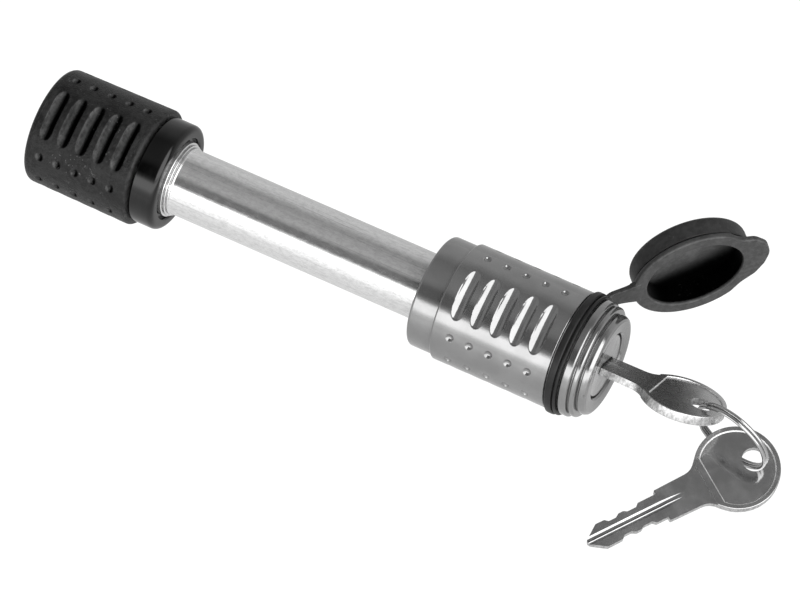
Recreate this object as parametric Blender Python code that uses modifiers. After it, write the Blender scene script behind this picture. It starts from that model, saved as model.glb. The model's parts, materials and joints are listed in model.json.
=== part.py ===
"""Hitch pin lock: a round steel pin with a rubber-covered grip at one end and a keyed lock head
at the other.

Everything is designed round the pin's axis. +X runs along the pin from the grip to the lock, +Z is
up, and x = 0 is a little outside the head's nose. The assembly hangs on the empty lock_frame, which
stands it on the ground with the middle of its bounding box over the origin.
"""

import math

import bmesh
import bpy
from mathutils import Matrix, Vector

MM = 0.001
GAP = 0.3 * MM
FINE, ROUND, COARSE = 40, 32, 24

# Pin: a 5/8 inch shank
PIN_RADIUS = 7.9375 * MM
PIN_TIP = 27.6 * MM
PIN_TIP_BEVEL = 1.5 * MM
PIN_ROOT = -57.9 * MM
PIN_END = -85.0 * MM
TANG_RADIUS = 7.0 * MM
FLANGE_RADIUS = 9.1 * MM
FLANGE_FACE = -56.4 * MM
LATCH_GROOVE_RADIUS = 5.9 * MM
LATCH_GROOVE = (21.7 * MM, 26.3 * MM)

# Grip
GRIP = (-90.6 * MM, -63.6 * MM)
GRIP_RADIUS = (13.8 * MM, 14.1 * MM)
GRIP_BORE = 11.3 * MM
CORE_RADIUS = 11.0 * MM
COLLAR = (-63.3 * MM, -57.2 * MM)
COLLAR_RADIUS = 12.8 * MM
COLLAR_BORE = 9.6 * MM
GRIP_PIN_X = -75.0 * MM
GRIP_PIN_RADIUS = 1.5 * MM

# Rows of slots, on the grip and on the head
SLOTS_IN_A_ROW = 5
SLOT_ROWS = 3
FIRST_ROW_ANGLE = math.radians(113.0)
SLOT_HALF_ANGLE = math.radians(24.5)
SLOT_DEPTH = 1.3 * MM
SLOT_PATH_POINTS = 7

# Lock head
NOSE = 8.4 * MM
NOSE_STEP = 14.8 * MM
NOSE_RADIUS = 13.25 * MM
HEAD_RADIUS = 14.0 * MM
BAND = (43.6 * MM, 46.6 * MM)
BAND_RADIUS = 14.65 * MM
BAND_SEAT_RADIUS = 13.2 * MM
CAVITY_RADIUS = 12.1 * MM
CAVITY_FLOOR = 20.3 * MM
BUSHING_BORE = 8.25 * MM
BUSHING_RADIUS = 10.0 * MM
BUSHING_SEAT = 10.3 * MM

# Locking bolts and their cam
BOLT_TRAVEL = 2.1 * MM
BOLT_INNER = 8.3 * MM
BOLT_OUTER = 11.7 * MM
BOLT_X = (22.3 * MM, 25.7 * MM)
BOLT_WIDTH = 6.0 * MM
PEG_RADIUS = 0.6 * MM
PEG_CENTRE = 10.8 * MM
CARRIER = (20.6 * MM, 28.7 * MM)
CAM = (29.2 * MM, 31.3 * MM)
CAM_RADIUS = 11.85 * MM
CAM_STEPS = 30
TAIL_HALF = 2.3 * MM

# Cylinder
HOUSING_BACK = 33.4 * MM
HOUSING_BODY_RADIUS = 11.8 * MM
PLUG_BORE = 7.85 * MM
PLUG_RADIUS = 7.55 * MM
PLUG = (31.8 * MM, 52.0 * MM)
FACE = 52.7 * MM
KEY_ROLL = math.radians(-34.0)
TURN = math.radians(90.0)
WAFERS = 6
WAFER_FIRST = 36.2 * MM
WAFER_PITCH = 2.6 * MM
WAFER_THICKNESS = 0.9 * MM
WAFER_TRAVEL = 0.6 * MM
WAFER_HALF_LENGTH = 7.0 * MM
WAFER_HALF_WIDTH = 2.3 * MM
DOWEL_X = 45.1 * MM
DOWEL_RADIUS = 0.9 * MM

# Keys
BLADE_LENGTH = 18.7 * MM
BLADE_HALF_WIDTH = 3.0 * MM
NECK_HALF_WIDTH = 3.9 * MM
BOW_CENTRE = 38.0 * MM
BOW_RADIUS = 9.8 * MM
KEY_HOLE_CENTRE = 42.4 * MM
KEY_HOLE_RADIUS = 2.8 * MM
KEY_THICKNESS = 1.7 * MM
BOW_THICKNESS = 2.3 * MM
KEY_SHOULDER_X = PLUG[1] + 0.05 * MM

# Split ring
RING_CENTRE = Vector((84.04, -0.99, -4.18)) * MM
RING_NORMAL = Vector((-0.199, -0.974, -0.106)).normalized()
RING_RADIUS = 9.4 * MM
RING_WIRE = 0.94 * MM

# Dust cap
CAP_TILT = math.radians(5.5)
CAP_HINGE = Vector((49.2, 16.65, 0.0)) * MM
CAP_OPENING_ANGLE = math.radians(-44.1)
CAP_REACH = 16.65 * MM
CAP_SETBACK = 1.65 * MM
CAP_RIM_RADIUS = 14.7 * MM
CAP_WALL_RADIUS = 13.9 * MM
CAP_MOUTH_RADIUS = 11.45 * MM
CAP_DEPTH = 6.9 * MM
CAP_RIM_THICKNESS = 1.5 * MM


# ---------------------------------------------------------------- scene and materials

def clear_scene():
    for obj in list(bpy.data.objects):
        bpy.data.objects.remove(obj, do_unlink=True)


def new_collection(name):
    collection = bpy.data.collections.new(name)
    bpy.context.scene.collection.children.link(collection)
    return collection


def principled(name, colour, roughness, metallic=0.0):
    material = bpy.data.materials.new(name)
    material.use_nodes = True
    shader = material.node_tree.nodes["Principled BSDF"]
    shader.inputs["Base Color"].default_value = (*colour, 1.0)
    shader.inputs["Roughness"].default_value = roughness
    shader.inputs["Metallic"].default_value = metallic
    return material


clear_scene()
PARTS = new_collection("hitch_pin_lock")
CUTTERS = new_collection("cutters")

RUBBER = principled("rubber", (0.025, 0.025, 0.027), 0.75)
BLACK_PLASTIC = principled("gloss_black", (0.012, 0.012, 0.013), 0.2)
PLATED_STEEL = principled("plated_steel", (0.70, 0.70, 0.70), 0.25, 1.0)
CHROME = principled("chrome", (0.62, 0.62, 0.63), 0.08, 1.0)
NICKEL = principled("nickel", (0.60, 0.59, 0.57), 0.28, 1.0)
BRASS = principled("brass", (0.78, 0.60, 0.32), 0.3, 1.0)
HARD_STEEL = principled("hard_steel", (0.35, 0.35, 0.36), 0.35, 1.0)
BRONZE = principled("bronze", (0.55, 0.36, 0.20), 0.4, 1.0)
CORE_PLASTIC = principled("core_plastic", (0.06, 0.06, 0.065), 0.5)


# ---------------------------------------------------------------- helpers

def empty(name, location=(0, 0, 0), rotation=(0, 0, 0), parent=None):
    obj = bpy.data.objects.new(name, None)
    obj.empty_display_size = 5 * MM
    obj.location = location
    obj.rotation_euler = rotation
    obj.parent = parent
    PARTS.objects.link(obj)
    return obj


def finish(obj, material, parent, smooth=True):
    obj.data.materials.clear()
    obj.data.materials.append(material)
    obj.parent = parent
    if smooth:
        obj.data.shade_smooth()
        obj.data.set_sharp_from_angle(angle=math.radians(32))
    return obj


def mesh_object(name, mesh, collection=None):
    obj = bpy.data.objects.new(name, mesh)
    (collection or PARTS).objects.link(obj)
    return obj


def as_cutter(obj):
    obj.hide_render = True
    obj.display_type = "WIRE"
    return obj


def rounded(corners, segments=2):
    """Corner points (x, y[, radius]) as an outline whose stated corners are arcs."""
    outline = []
    count = len(corners)
    for i, corner in enumerate(corners):
        here = Vector(corner[:2])
        if len(corner) < 3 or i in (0, count - 1):
            outline.append(here)
            continue
        before = (Vector(corners[i - 1][:2]) - here).normalized()
        after = (Vector(corners[i + 1][:2]) - here).normalized()
        half = before.angle(after) / 2
        reach = corner[2] / math.tan(half)
        centre = here + (before + after).normalized() * corner[2] / math.sin(half)
        start = here + before * reach - centre
        end = here + after * reach - centre
        sweep = start.angle_signed(end)
        for step in range(segments + 1):
            outline.append(centre + Matrix.Rotation(-sweep * step / segments, 2) @ start)
    return outline


def turned(name, profile, steps=ROUND, closed=True, collection=None):
    """A body turned round X. profile holds (x, radius[, corner radius]) from the +X end over the
    outer side to the -X end, and back along the bore where closed is true."""
    points = [Vector((p[1], 0, p[0])) for p in rounded(profile)]
    mesh = bpy.data.meshes.new(name)
    edges = [(i, i + 1) for i in range(len(points) - 1)]
    if closed:
        edges.append((len(points) - 1, 0))
    mesh.from_pydata(points, edges, [])
    obj = mesh_object(name, mesh, collection)
    obj.rotation_euler = (0, math.pi / 2, 0)
    screw = obj.modifiers.new("turn", "SCREW")
    screw.axis = "Z"
    screw.angle = 2 * math.pi
    screw.steps = screw.render_steps = steps
    screw.use_merge_vertices = True
    screw.merge_threshold = 0.00001
    screw.use_smooth_shade = True
    return obj


def tube_profile(low, high, bore, outer):
    return [(high, bore), (high, outer), (low, outer), (low, bore)]


def box(name, low, high, parent=None, collection=None):
    low, high = Vector(map(min, low, high)), Vector(map(max, low, high))
    mesh = bpy.data.meshes.new(name)
    shape = bmesh.new()
    bmesh.ops.create_cube(shape, size=1.0)
    size = high - low
    middle = (high + low) / 2
    bmesh.ops.transform(shape, matrix=Matrix.Translation(middle) @ Matrix.Diagonal((*size, 1)),
                        verts=shape.verts)
    shape.to_mesh(mesh)
    shape.free()
    obj = mesh_object(name, mesh, collection)
    obj.parent = parent
    return obj


def rod(name, start, end, radius, sides=16, parent=None, collection=None):
    start, end = Vector(start), Vector(end)
    along = end - start
    turn = along.to_track_quat("Z", "Y").to_matrix().to_4x4()
    mesh = bpy.data.meshes.new(name)
    shape = bmesh.new()
    bmesh.ops.create_cone(shape, cap_ends=True, segments=sides, radius1=radius, radius2=radius,
                          depth=along.length,
                          matrix=Matrix.Translation((start + end) / 2) @ turn)
    shape.to_mesh(mesh)
    shape.free()
    obj = mesh_object(name, mesh, collection)
    obj.parent = parent
    return obj


def plate(name, outlines, thickness, parent=None, collection=None):
    """A flat piece in its own XY plane, centred on z = 0: the first outline is its edge, and the
    others are holes."""
    curve = bpy.data.curves.new(name, "CURVE")
    curve.dimensions = "2D"
    curve.fill_mode = "BOTH"
    curve.extrude = thickness / 2
    for outline in outlines:
        spline = curve.splines.new("POLY")
        spline.points.add(len(outline) - 1)
        for point, at in zip(spline.points, outline):
            point.co = (at[0], at[1], 0, 1)
        spline.use_cyclic_u = True
    return curve_to_mesh(name, curve, parent, collection)


def wire(name, points, radius, parent=None, collection=None, cyclic=False, resolution=2):
    """A round wire through the points."""
    curve = bpy.data.curves.new(name, "CURVE")
    curve.dimensions = "3D"
    curve.bevel_depth = radius
    curve.bevel_resolution = resolution
    curve.use_fill_caps = not cyclic
    spline = curve.splines.new("POLY")
    spline.points.add(len(points) - 1)
    for point, at in zip(spline.points, points):
        point.co = (*at, 1)
    spline.use_cyclic_u = cyclic
    return curve_to_mesh(name, curve, parent, collection)


def curve_to_mesh(name, curve, parent, collection):
    guide = bpy.data.objects.new(name + "_curve", curve)
    PARTS.objects.link(guide)
    graph = bpy.context.evaluated_depsgraph_get()
    mesh = bpy.data.meshes.new_from_object(guide.evaluated_get(graph))
    mesh.name = name
    bpy.data.objects.remove(guide)
    shape = bmesh.new()
    shape.from_mesh(mesh)
    bmesh.ops.remove_doubles(shape, verts=shape.verts, dist=0.000001)
    bmesh.ops.recalc_face_normals(shape, faces=shape.faces)
    shape.to_mesh(mesh)
    shape.free()
    obj = mesh_object(name, mesh, collection)
    obj.parent = parent
    return obj


def boolean(obj, other, operation="DIFFERENCE"):
    as_cutter(other)
    modifier = obj.modifiers.new(other.name, "BOOLEAN")
    modifier.operation = operation
    modifier.solver = "EXACT"
    modifier.object = other


def ring_points(centre, radius, start, end, count):
    """Points (x, y) along an arc, ends included."""
    angles = [start + (end - start) * i / (count - 1) for i in range(count)]
    return [(centre[0] + radius * math.cos(a), centre[1] + radius * math.sin(a)) for a in angles]


# ---------------------------------------------------------------- slots

def slot_path(x, radius, middle, width, depth):
    """The middle line of one slot's cutter: an arc round the pin that lifts out at its ends.
    width and depth are the slot's own, at its middle."""
    cutter_radius = (width ** 2 / (4 * depth) + depth) / 2
    lift = cutter_radius - depth
    points = []
    for i in range(SLOT_PATH_POINTS):
        t = 2 * i / (SLOT_PATH_POINTS - 1) - 1
        angle = middle + t * SLOT_HALF_ANGLE * 1.12
        r = radius + lift + depth * 1.15 * t ** 4
        points.append(Vector((x, r * math.cos(angle), r * math.sin(angle))))
    return points, cutter_radius


def cut_slots(obj, middle_x, pitch, radius, width, depth):
    for row in range(SLOT_ROWS):
        middle = FIRST_ROW_ANGLE + row * 2 * math.pi / SLOT_ROWS
        for i in range(SLOTS_IN_A_ROW):
            x = middle_x + (i - (SLOTS_IN_A_ROW - 1) / 2) * pitch
            points, cutter_radius = slot_path(x, radius, middle, width, depth)
            cutter = wire(f"{obj.name}_slot_{row}_{i}", points, cutter_radius, obj.parent, CUTTERS)
            boolean(obj, cutter)


# ---------------------------------------------------------------- pin and grip

def make_pin(parent):
    profile = [(PIN_TIP, 0), (PIN_TIP, PIN_RADIUS - PIN_TIP_BEVEL),
               (PIN_TIP - 0.9 * MM, PIN_RADIUS - 0.3 * MM), (PIN_TIP - 1.1 * MM, PIN_RADIUS),
               (LATCH_GROOVE[1], PIN_RADIUS), (LATCH_GROOVE[1] - 0.1 * MM, LATCH_GROOVE_RADIUS),
               (LATCH_GROOVE[0] + 0.1 * MM, LATCH_GROOVE_RADIUS), (LATCH_GROOVE[0], PIN_RADIUS),
               (FLANGE_FACE + 0.6 * MM, PIN_RADIUS), (FLANGE_FACE, PIN_RADIUS + 0.35 * MM),
               (FLANGE_FACE - 0.25 * MM, FLANGE_RADIUS - 0.25 * MM),
               (FLANGE_FACE - 0.6 * MM, FLANGE_RADIUS), (PIN_ROOT, FLANGE_RADIUS),
               (PIN_ROOT, TANG_RADIUS), (PIN_END, TANG_RADIUS), (PIN_END, 0)]
    pin = turned("hitch_pin", profile, FINE, closed=False)
    hole = rod("grip_pin_hole", (GRIP_PIN_X, 0, -9 * MM), (GRIP_PIN_X, 0, 9 * MM),
               GRIP_PIN_RADIUS + GAP, 12, parent, CUTTERS)
    boolean(pin, hole)
    finish(pin, PLATED_STEEL, parent)


def make_grip(parent):
    left, right = GRIP
    sleeve = turned("grip_sleeve", [
        (right, GRIP_BORE), (right, GRIP_RADIUS[1], 0.6 * MM), (left, GRIP_RADIUS[0], 1.5 * MM),
        (left, 0), (left + 2.4 * MM, 0), (left + 2.4 * MM, GRIP_BORE)], ROUND)
    sleeve.parent = parent
    cut_slots(sleeve, (left + right) / 2, 4.64 * MM, sum(GRIP_RADIUS) / 2, 2.7 * MM, SLOT_DEPTH)
    finish(sleeve, RUBBER, parent)

    core = turned("grip_core", tube_profile(
        left + 2.8 * MM, COLLAR[0] - GAP, TANG_RADIUS + GAP, CORE_RADIUS), COARSE)
    hole = rod("core_hole", (GRIP_PIN_X, 0, -12 * MM), (GRIP_PIN_X, 0, 12 * MM),
               GRIP_PIN_RADIUS + GAP, 12, parent, CUTTERS)
    boolean(core, hole)
    finish(core, CORE_PLASTIC, parent)

    cross_pin = rod("grip_pin", (GRIP_PIN_X, 0, -10.9 * MM), (GRIP_PIN_X, 0, 10.9 * MM),
                    GRIP_PIN_RADIUS, 12, parent)
    finish(cross_pin, HARD_STEEL, parent)

    collar = turned("grip_collar", [
        (COLLAR[1], COLLAR_BORE), (COLLAR[1], COLLAR_RADIUS, 1.2 * MM),
        (COLLAR[0], COLLAR_RADIUS, 0.4 * MM), (COLLAR[0], TANG_RADIUS + GAP),
        (PIN_ROOT - GAP, TANG_RADIUS + GAP), (PIN_ROOT - GAP, COLLAR_BORE)], FINE)
    finish(collar, BLACK_PLASTIC, parent)


# ---------------------------------------------------------------- bushing, shell and band

def make_bushing(parent):
    bushing = turned("bore_bushing", tube_profile(
        11.4 * MM, CAVITY_FLOOR - GAP, BUSHING_BORE, BUSHING_RADIUS), ROUND)
    finish(bushing, BRONZE, parent)
    seal = turned("pin_seal", [
        (11.0 * MM, 8.6 * MM), (11.0 * MM, 9.4 * MM), (10.6 * MM, 9.9 * MM), (10.0 * MM, 9.9 * MM),
        (9.6 * MM, 9.4 * MM), (9.6 * MM, 8.6 * MM), (10.0 * MM, 8.2 * MM), (10.6 * MM, 8.2 * MM)],
        ROUND)
    finish(seal, RUBBER, parent)


def make_shell(parent):
    shell = turned("head_shell", [
        (BAND[1], CAVITY_RADIUS), (BAND[1], BAND_SEAT_RADIUS),
        (BAND[0] - 0.2 * MM, BAND_SEAT_RADIUS), (BAND[0] - 0.2 * MM, HEAD_RADIUS, 0.3 * MM),
        (NOSE_STEP, HEAD_RADIUS, 0.4 * MM), (NOSE_STEP, NOSE_RADIUS),
        (NOSE, NOSE_RADIUS, 0.8 * MM), (NOSE, BUSHING_BORE + GAP),
        (9.3 * MM, BUSHING_BORE + GAP), (9.3 * MM, BUSHING_SEAT),
        (CAVITY_FLOOR, BUSHING_SEAT), (CAVITY_FLOOR, CAVITY_RADIUS)], FINE)
    shell.parent = parent
    cut_slots(shell, (NOSE_STEP + BAND[0] - 0.2 * MM) / 2, 4.85 * MM, HEAD_RADIUS, 3.3 * MM,
              SLOT_DEPTH)
    for side in (-1, 1):
        boolean(shell, dowel(f"shell_hole_{side}", side, 11 * MM, 14 * MM, GAP, parent, CUTTERS))
    finish(shell, CHROME, parent)


def dowel(name, side, inner, outer, clearance, parent, collection=None):
    across = Matrix.Rotation(KEY_ROLL, 3, "X") @ Vector((0, 0, side))
    middle = Vector((DOWEL_X, 0, 0))
    return rod(name, middle + across * inner, middle + across * outer, DOWEL_RADIUS + clearance,
               10, parent, collection)


def make_band(parent):
    band = turned("cap_band", [
        (BAND[1] - 0.1 * MM, BAND_SEAT_RADIUS + GAP), (BAND[1] - 0.1 * MM, BAND_RADIUS, 0.35 * MM),
        (BAND[0] + 0.1 * MM, BAND_RADIUS, 0.35 * MM),
        (BAND[0] + 0.1 * MM, BAND_SEAT_RADIUS + GAP)], FINE)
    finish(band, RUBBER, parent)


# ---------------------------------------------------------------- cylinder

def make_housing(parent):
    housing = turned("cylinder_housing", [
        (FACE - 0.6 * MM, PLUG_BORE), (FACE, PLUG_BORE + 0.5 * MM), (FACE, 12.0 * MM, 1.0 * MM),
        (50.9 * MM, 12.0 * MM), (50.7 * MM, 11.5 * MM), (50.5 * MM, 11.5 * MM),
        (50.4 * MM, 13.3 * MM, 0.5 * MM), (49.2 * MM, 13.3 * MM), (49.1 * MM, 12.8 * MM),
        (48.8 * MM, 12.8 * MM), (48.8 * MM, 13.85 * MM, 0.4 * MM),
        (BAND[1] + GAP, 13.85 * MM, 0.3 * MM), (BAND[1] + GAP, HOUSING_BODY_RADIUS),
        (HOUSING_BACK, HOUSING_BODY_RADIUS), (HOUSING_BACK, PLUG_BORE)], FINE)
    for side in (-1, 1):
        boolean(housing, dowel(f"housing_hole_{side}", side, 9 * MM, 12.5 * MM, GAP, parent,
                               CUTTERS))
    turn = empty("wafer_slot_frame", rotation=(KEY_ROLL, 0, 0), parent=parent)
    for side in (-1, 1):
        ends = sorted((side * 6.0 * MM, side * 8.9 * MM))
        channel = box(f"wafer_channel_{side}",
                      (HOUSING_BACK - 1 * MM, ends[0], -2.8 * MM),
                      (50.2 * MM, ends[1], 2.8 * MM), turn, CUTTERS)
        boolean(housing, channel)
    finish(housing, CHROME, parent)
    for number, side in enumerate((-1, 1), 1):
        pin = dowel(f"housing_pin_{number}", side, 9.4 * MM, 13.0 * MM, 0, parent)
        finish(pin, HARD_STEEL, parent)


def wafer_x(number):
    return WAFER_FIRST + number * WAFER_PITCH


def make_plug(parent):
    front = PLUG[1]
    plug = turned("lock_plug", [
        (front, 0), (front, PLUG_RADIUS, 0.3 * MM), (33.3 * MM, PLUG_RADIUS),
        (33.3 * MM, 6.6 * MM), (32.4 * MM, 6.6 * MM), (32.4 * MM, PLUG_RADIUS),
        (PLUG[0], PLUG_RADIUS), (PLUG[0], 0)], ROUND, closed=False)
    plug.parent = parent
    turn = empty("plug_frame", rotation=(KEY_ROLL, 0, 0), parent=parent)
    tail = box("plug_tail", (CAM[0] - 0.2 * MM, -TAIL_HALF, -TAIL_HALF),
               (PLUG[0] + 1 * MM, TAIL_HALF, TAIL_HALF), turn, CUTTERS)
    boolean(plug, tail, "UNION")
    keyway = box("keyway", (33.0 * MM, -3.35 * MM, -1.2 * MM),
                 (front + 1 * MM, 3.35 * MM, 1.2 * MM), turn, CUTTERS)
    boolean(plug, keyway)
    for number in range(WAFERS):
        x = wafer_x(number)
        half = WAFER_THICKNESS / 2 + GAP
        slot = box(f"wafer_slot_{number}", (x - half, -9 * MM, -WAFER_HALF_WIDTH - GAP),
                   (x + half, 9 * MM, WAFER_HALF_WIDTH + GAP), turn, CUTTERS)
        boolean(plug, slot)
        pocket = box(f"spring_pocket_{number}",
                     (x - half, -3.2 * MM * wafer_side(number), 1.5 * MM),
                     (x + half, 5.2 * MM * wafer_side(number), 5.0 * MM), turn, CUTTERS)
        boolean(plug, pocket)
    finish(plug, BRASS, parent)

    clip = plate("plug_clip", [
        ring_points((0, 0), 8.9 * MM, 0.5, 2 * math.pi - 0.5, 22)
        + ring_points((0, 0), 6.9 * MM, 2 * math.pi - 0.5, 0.5, 22)], 0.4 * MM, parent)
    clip.rotation_euler = (0, math.pi / 2, 0)
    clip.location = (32.85 * MM, 0, 0)
    finish(clip, HARD_STEEL, parent, smooth=False)


def wafer_side(number):
    return 1 if number % 2 == 0 else -1


def make_wafers(lifts):
    """Each wafer is a plate with a window for the blade and an ear that its spring pushes."""
    half_length, half_width = WAFER_HALF_LENGTH, WAFER_HALF_WIDTH
    for number in range(WAFERS):
        side = wafer_side(number)
        edge = [(-half_length, -half_width + 0.6 * MM), (-half_length + 0.3 * MM, -half_width),
                (half_length - 0.3 * MM, -half_width), (half_length, -half_width + 0.6 * MM),
                (half_length, half_width - 0.6 * MM), (half_length - 0.3 * MM, half_width),
                (4.5 * MM, half_width), (4.5 * MM, 4.6 * MM), (3.3 * MM, 4.6 * MM),
                (3.3 * MM, half_width), (-half_length + 0.3 * MM, half_width),
                (-half_length, half_width - 0.6 * MM)]
        window = [(-3.9 * MM, -1.45 * MM), (3.9 * MM, -1.45 * MM), (3.9 * MM, 1.45 * MM),
                  (-3.9 * MM, 1.45 * MM)]
        if side < 0:
            edge = [(-y, z) for y, z in reversed(edge)]
        wafer = plate(f"wafer_{number + 1}", [edge, window], WAFER_THICKNESS, lifts[side])
        wafer.matrix_local = (Matrix.Translation((wafer_x(number), 0, 0))
                              @ Matrix.Rotation(KEY_ROLL, 4, "X")
                              @ Matrix(((0, 0, 1, 0), (1, 0, 0, 0), (0, 1, 0, 0), (0, 0, 0, 1))))
        finish(wafer, BRASS, lifts[side], smooth=False)


def make_wafer_springs(parent):
    turns, sides = 3, 7
    for number in range(WAFERS):
        side = wafer_side(number)
        points = []
        for i in range(turns * sides + 1):
            angle = 2 * math.pi * i / sides
            y = side * (-2.7 * MM + 5.6 * MM * i / (turns * sides))
            points.append((wafer_x(number) + 0.42 * MM * math.cos(angle), y,
                           3.9 * MM + 0.42 * MM * math.sin(angle)))
        spring = wire(f"wafer_spring_{number + 1}", points, 0.12 * MM, parent, resolution=0)
        spring.rotation_euler = (KEY_ROLL, 0, 0)
        finish(spring, HARD_STEEL, parent)


# ---------------------------------------------------------------- bolts and cam

def spiral(start_radius, end_radius, half_width, count=11):
    """The outline of a slot round a spiral that runs a quarter turn, with round ends."""
    inner, outer = [], []
    for i in range(count + 1):
        angle = TURN * i / count
        radius = start_radius + (end_radius - start_radius) * i / count
        direction = Vector((math.cos(angle), math.sin(angle)))
        inner.append(direction * (radius - half_width))
        outer.append(direction * (radius + half_width))
    first = Vector((start_radius, 0))
    last = Vector((0, end_radius))
    start_cap = [first + half_width * Vector((math.cos(a), math.sin(a)))
                 for a in [math.pi + math.pi * k / 5 for k in range(1, 5)]]
    end_cap = [last + half_width * Vector((math.cos(a), math.sin(a)))
               for a in [math.pi / 2 + math.pi * k / 5 for k in range(1, 5)]]
    return inner[:1] + start_cap + outer + end_cap + inner[:0:-1]


def make_cam(parent):
    cam = turned("drive_cam", [(CAM[1], 0), (CAM[1], CAM_RADIUS), (CAM[0], CAM_RADIUS),
                               (CAM[0], 0)], CAM_STEPS, closed=False)
    cam.parent = parent
    square = TAIL_HALF + GAP
    hole = box("cam_square", (CAM[0] - 1 * MM, -square, -square),
               (CAM[1] + 1 * MM, square, square), None, CUTTERS)
    hole.rotation_euler = (KEY_ROLL, 0, 0)
    hole.parent = parent
    boolean(cam, hole)
    for number in range(2):
        slot = plate(f"cam_slot_{number}",
                     [spiral(PEG_CENTRE, PEG_CENTRE - BOLT_TRAVEL, PEG_RADIUS + GAP)],
                     CAM[1] - CAM[0] + 2 * MM, parent, CUTTERS)
        slot.matrix_local = (Matrix.Translation(((CAM[0] + CAM[1]) / 2, 0, 0))
                             @ Matrix.Rotation(math.pi * number, 4, "X")
                             @ Matrix(((0, 0, 1, 0), (0, -1, 0, 0), (1, 0, 0, 0), (0, 0, 0, 1))))
        boolean(cam, slot)
    finish(cam, HARD_STEEL, parent)
    screw = turned("cam_screw", [(CAM[0] - 0.5 * MM, 0), (CAM[0] - 0.5 * MM, 3.3 * MM),
                                 (28.0 * MM, 3.3 * MM, 0.3 * MM), (28.0 * MM, 0)], 16, closed=False)
    finish(screw, HARD_STEEL, parent)


def make_carrier(parent):
    carrier = turned("bolt_carrier", tube_profile(
        CARRIER[0], CARRIER[1], BUSHING_BORE + 0.1 * MM, CAVITY_RADIUS - GAP), COARSE)
    half = BOLT_WIDTH / 2 + GAP
    for side in (-1, 1):
        ends = sorted((side * 6 * MM, side * 13 * MM))
        for part, low, high, reach in (("body", BOLT_X[0], BOLT_X[1], half),
                                       ("peg", BOLT_X[1] - 1 * MM, 30 * MM, PEG_RADIUS + GAP)):
            cutter = box(f"bolt_{part}_slot_{side}", (low - GAP, -reach, ends[0]),
                         (high + GAP, reach, ends[1]), parent, CUTTERS)
            boolean(carrier, cutter)
    finish(carrier, HARD_STEEL, parent)


def make_bolt(number, side, parent):
    ends = sorted((side * BOLT_INNER, side * (BOLT_OUTER - 0.35 * MM)))
    bolt = box(f"locking_bolt_{number}", (BOLT_X[0], -BOLT_WIDTH / 2, ends[0]),
               (BOLT_X[1], BOLT_WIDTH / 2, ends[1]), parent)
    hollow = turned(f"bolt_hollow_{number}", [(40 * MM, 0), (40 * MM, BOLT_INNER),
                                              (10 * MM, BOLT_INNER), (10 * MM, 0)], ROUND,
                    closed=False, collection=CUTTERS)
    hollow.parent = parent
    peg = rod(f"bolt_peg_{number}", (BOLT_X[1] - 1 * MM, 0, side * PEG_CENTRE),
              (CAM[1] - GAP, 0, side * PEG_CENTRE), PEG_RADIUS, 10, parent, CUTTERS)
    boolean(bolt, hollow)
    boolean(bolt, peg, "UNION")
    finish(bolt, HARD_STEEL, parent)


# ---------------------------------------------------------------- keys and ring

def key_outline():
    """The edge of the key in its own plane: x from the tip towards the bow, y across."""
    cuts = [(5.6, 2.9), (6.4, 2.2), (8.2, 2.2), (9.2, 2.8), (10.4, 2.8), (11.2, 2.3), (13.4, 2.3),
            (14.2, 3.0)]
    near = [(0.0, 0.5), (3.4, 2.9)] + cuts + [(BLADE_LENGTH / MM, 3.0),
                                              (BLADE_LENGTH / MM, NECK_HALF_WIDTH / MM)]
    far = [(x + (1.6 if 5 < x < 15 else 0.0), y) for x, y in near]
    start = math.asin(4.2 * MM / BOW_RADIUS)
    bow = ring_points((BOW_CENTRE, 0), BOW_RADIUS, math.pi - start, -math.pi + start, 30)
    lower = [(x * MM, -y * MM) for x, y in reversed(far)]
    return [(x * MM, y * MM) for x, y in near] + bow + lower


def make_key(name, parent, matrix):
    """A flat key with cuts on both edges and a round bow, whose middle is pressed thinner."""
    circle = ring_points((KEY_HOLE_CENTRE, 0), KEY_HOLE_RADIUS, 0, 2 * math.pi, 17)[:-1]
    key = plate(name, [key_outline(), circle], BOW_THICKNESS, parent)
    key.matrix_local = matrix
    thin = (BOW_THICKNESS - KEY_THICKNESS) / 2
    panel_radius = BOW_RADIUS - 0.9 * MM
    for side in (-1, 1):
        level = side * (BOW_THICKNESS / 2 - thin + 1 * MM)
        neck = plate(f"{name}_neck_{side}", [[(-2 * MM, -6 * MM), (30.4 * MM, -6 * MM),
                                              (30.4 * MM, 6 * MM), (-2 * MM, 6 * MM)]],
                     2 * MM, parent, CUTTERS)
        panel = plate(f"{name}_panel_{side}", [
            ring_points((BOW_CENTRE, 0), panel_radius, -2.35, 2.35, 24)], 2 * MM, parent, CUTTERS)
        for cutter in (neck, panel):
            cutter.matrix_local = matrix @ Matrix.Translation((0, 0, level))
            boolean(key, cutter)
    return finish(key, NICKEL, parent)


def inserted_key_matrix():
    across = Matrix.Rotation(KEY_ROLL, 4, "X")
    return Matrix.Translation((KEY_SHOULDER_X - BLADE_LENGTH, 0, 0)) @ across


SPARE_HOLE = Vector((89.66, -0.56, -10.76)) * MM
SPARE_YAW, SPARE_PITCH, SPARE_ROLL = (math.radians(a) for a in (56.5, 3.4, 13.2))


def spare_key_matrix():
    turn = (Matrix.Rotation(SPARE_YAW, 4, "Z") @ Matrix.Rotation(-SPARE_PITCH, 4, "Y")
            @ Matrix.Rotation(SPARE_ROLL, 4, "X"))
    return Matrix.Translation(SPARE_HOLE) @ turn @ Matrix.Translation((-KEY_HOLE_CENTRE, 0, 0))


def pivot(name, axis, point, parent, parent_matrix):
    """An empty whose Z axis is a joint's axis, and its matrix in the lock's own frame."""
    matrix = Matrix.Translation(point) @ axis.to_track_quat("Z", "Y").to_matrix().to_4x4()
    obj = empty(name, parent=parent)
    obj.matrix_local = parent_matrix.inverted() @ matrix
    return obj, matrix


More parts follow.
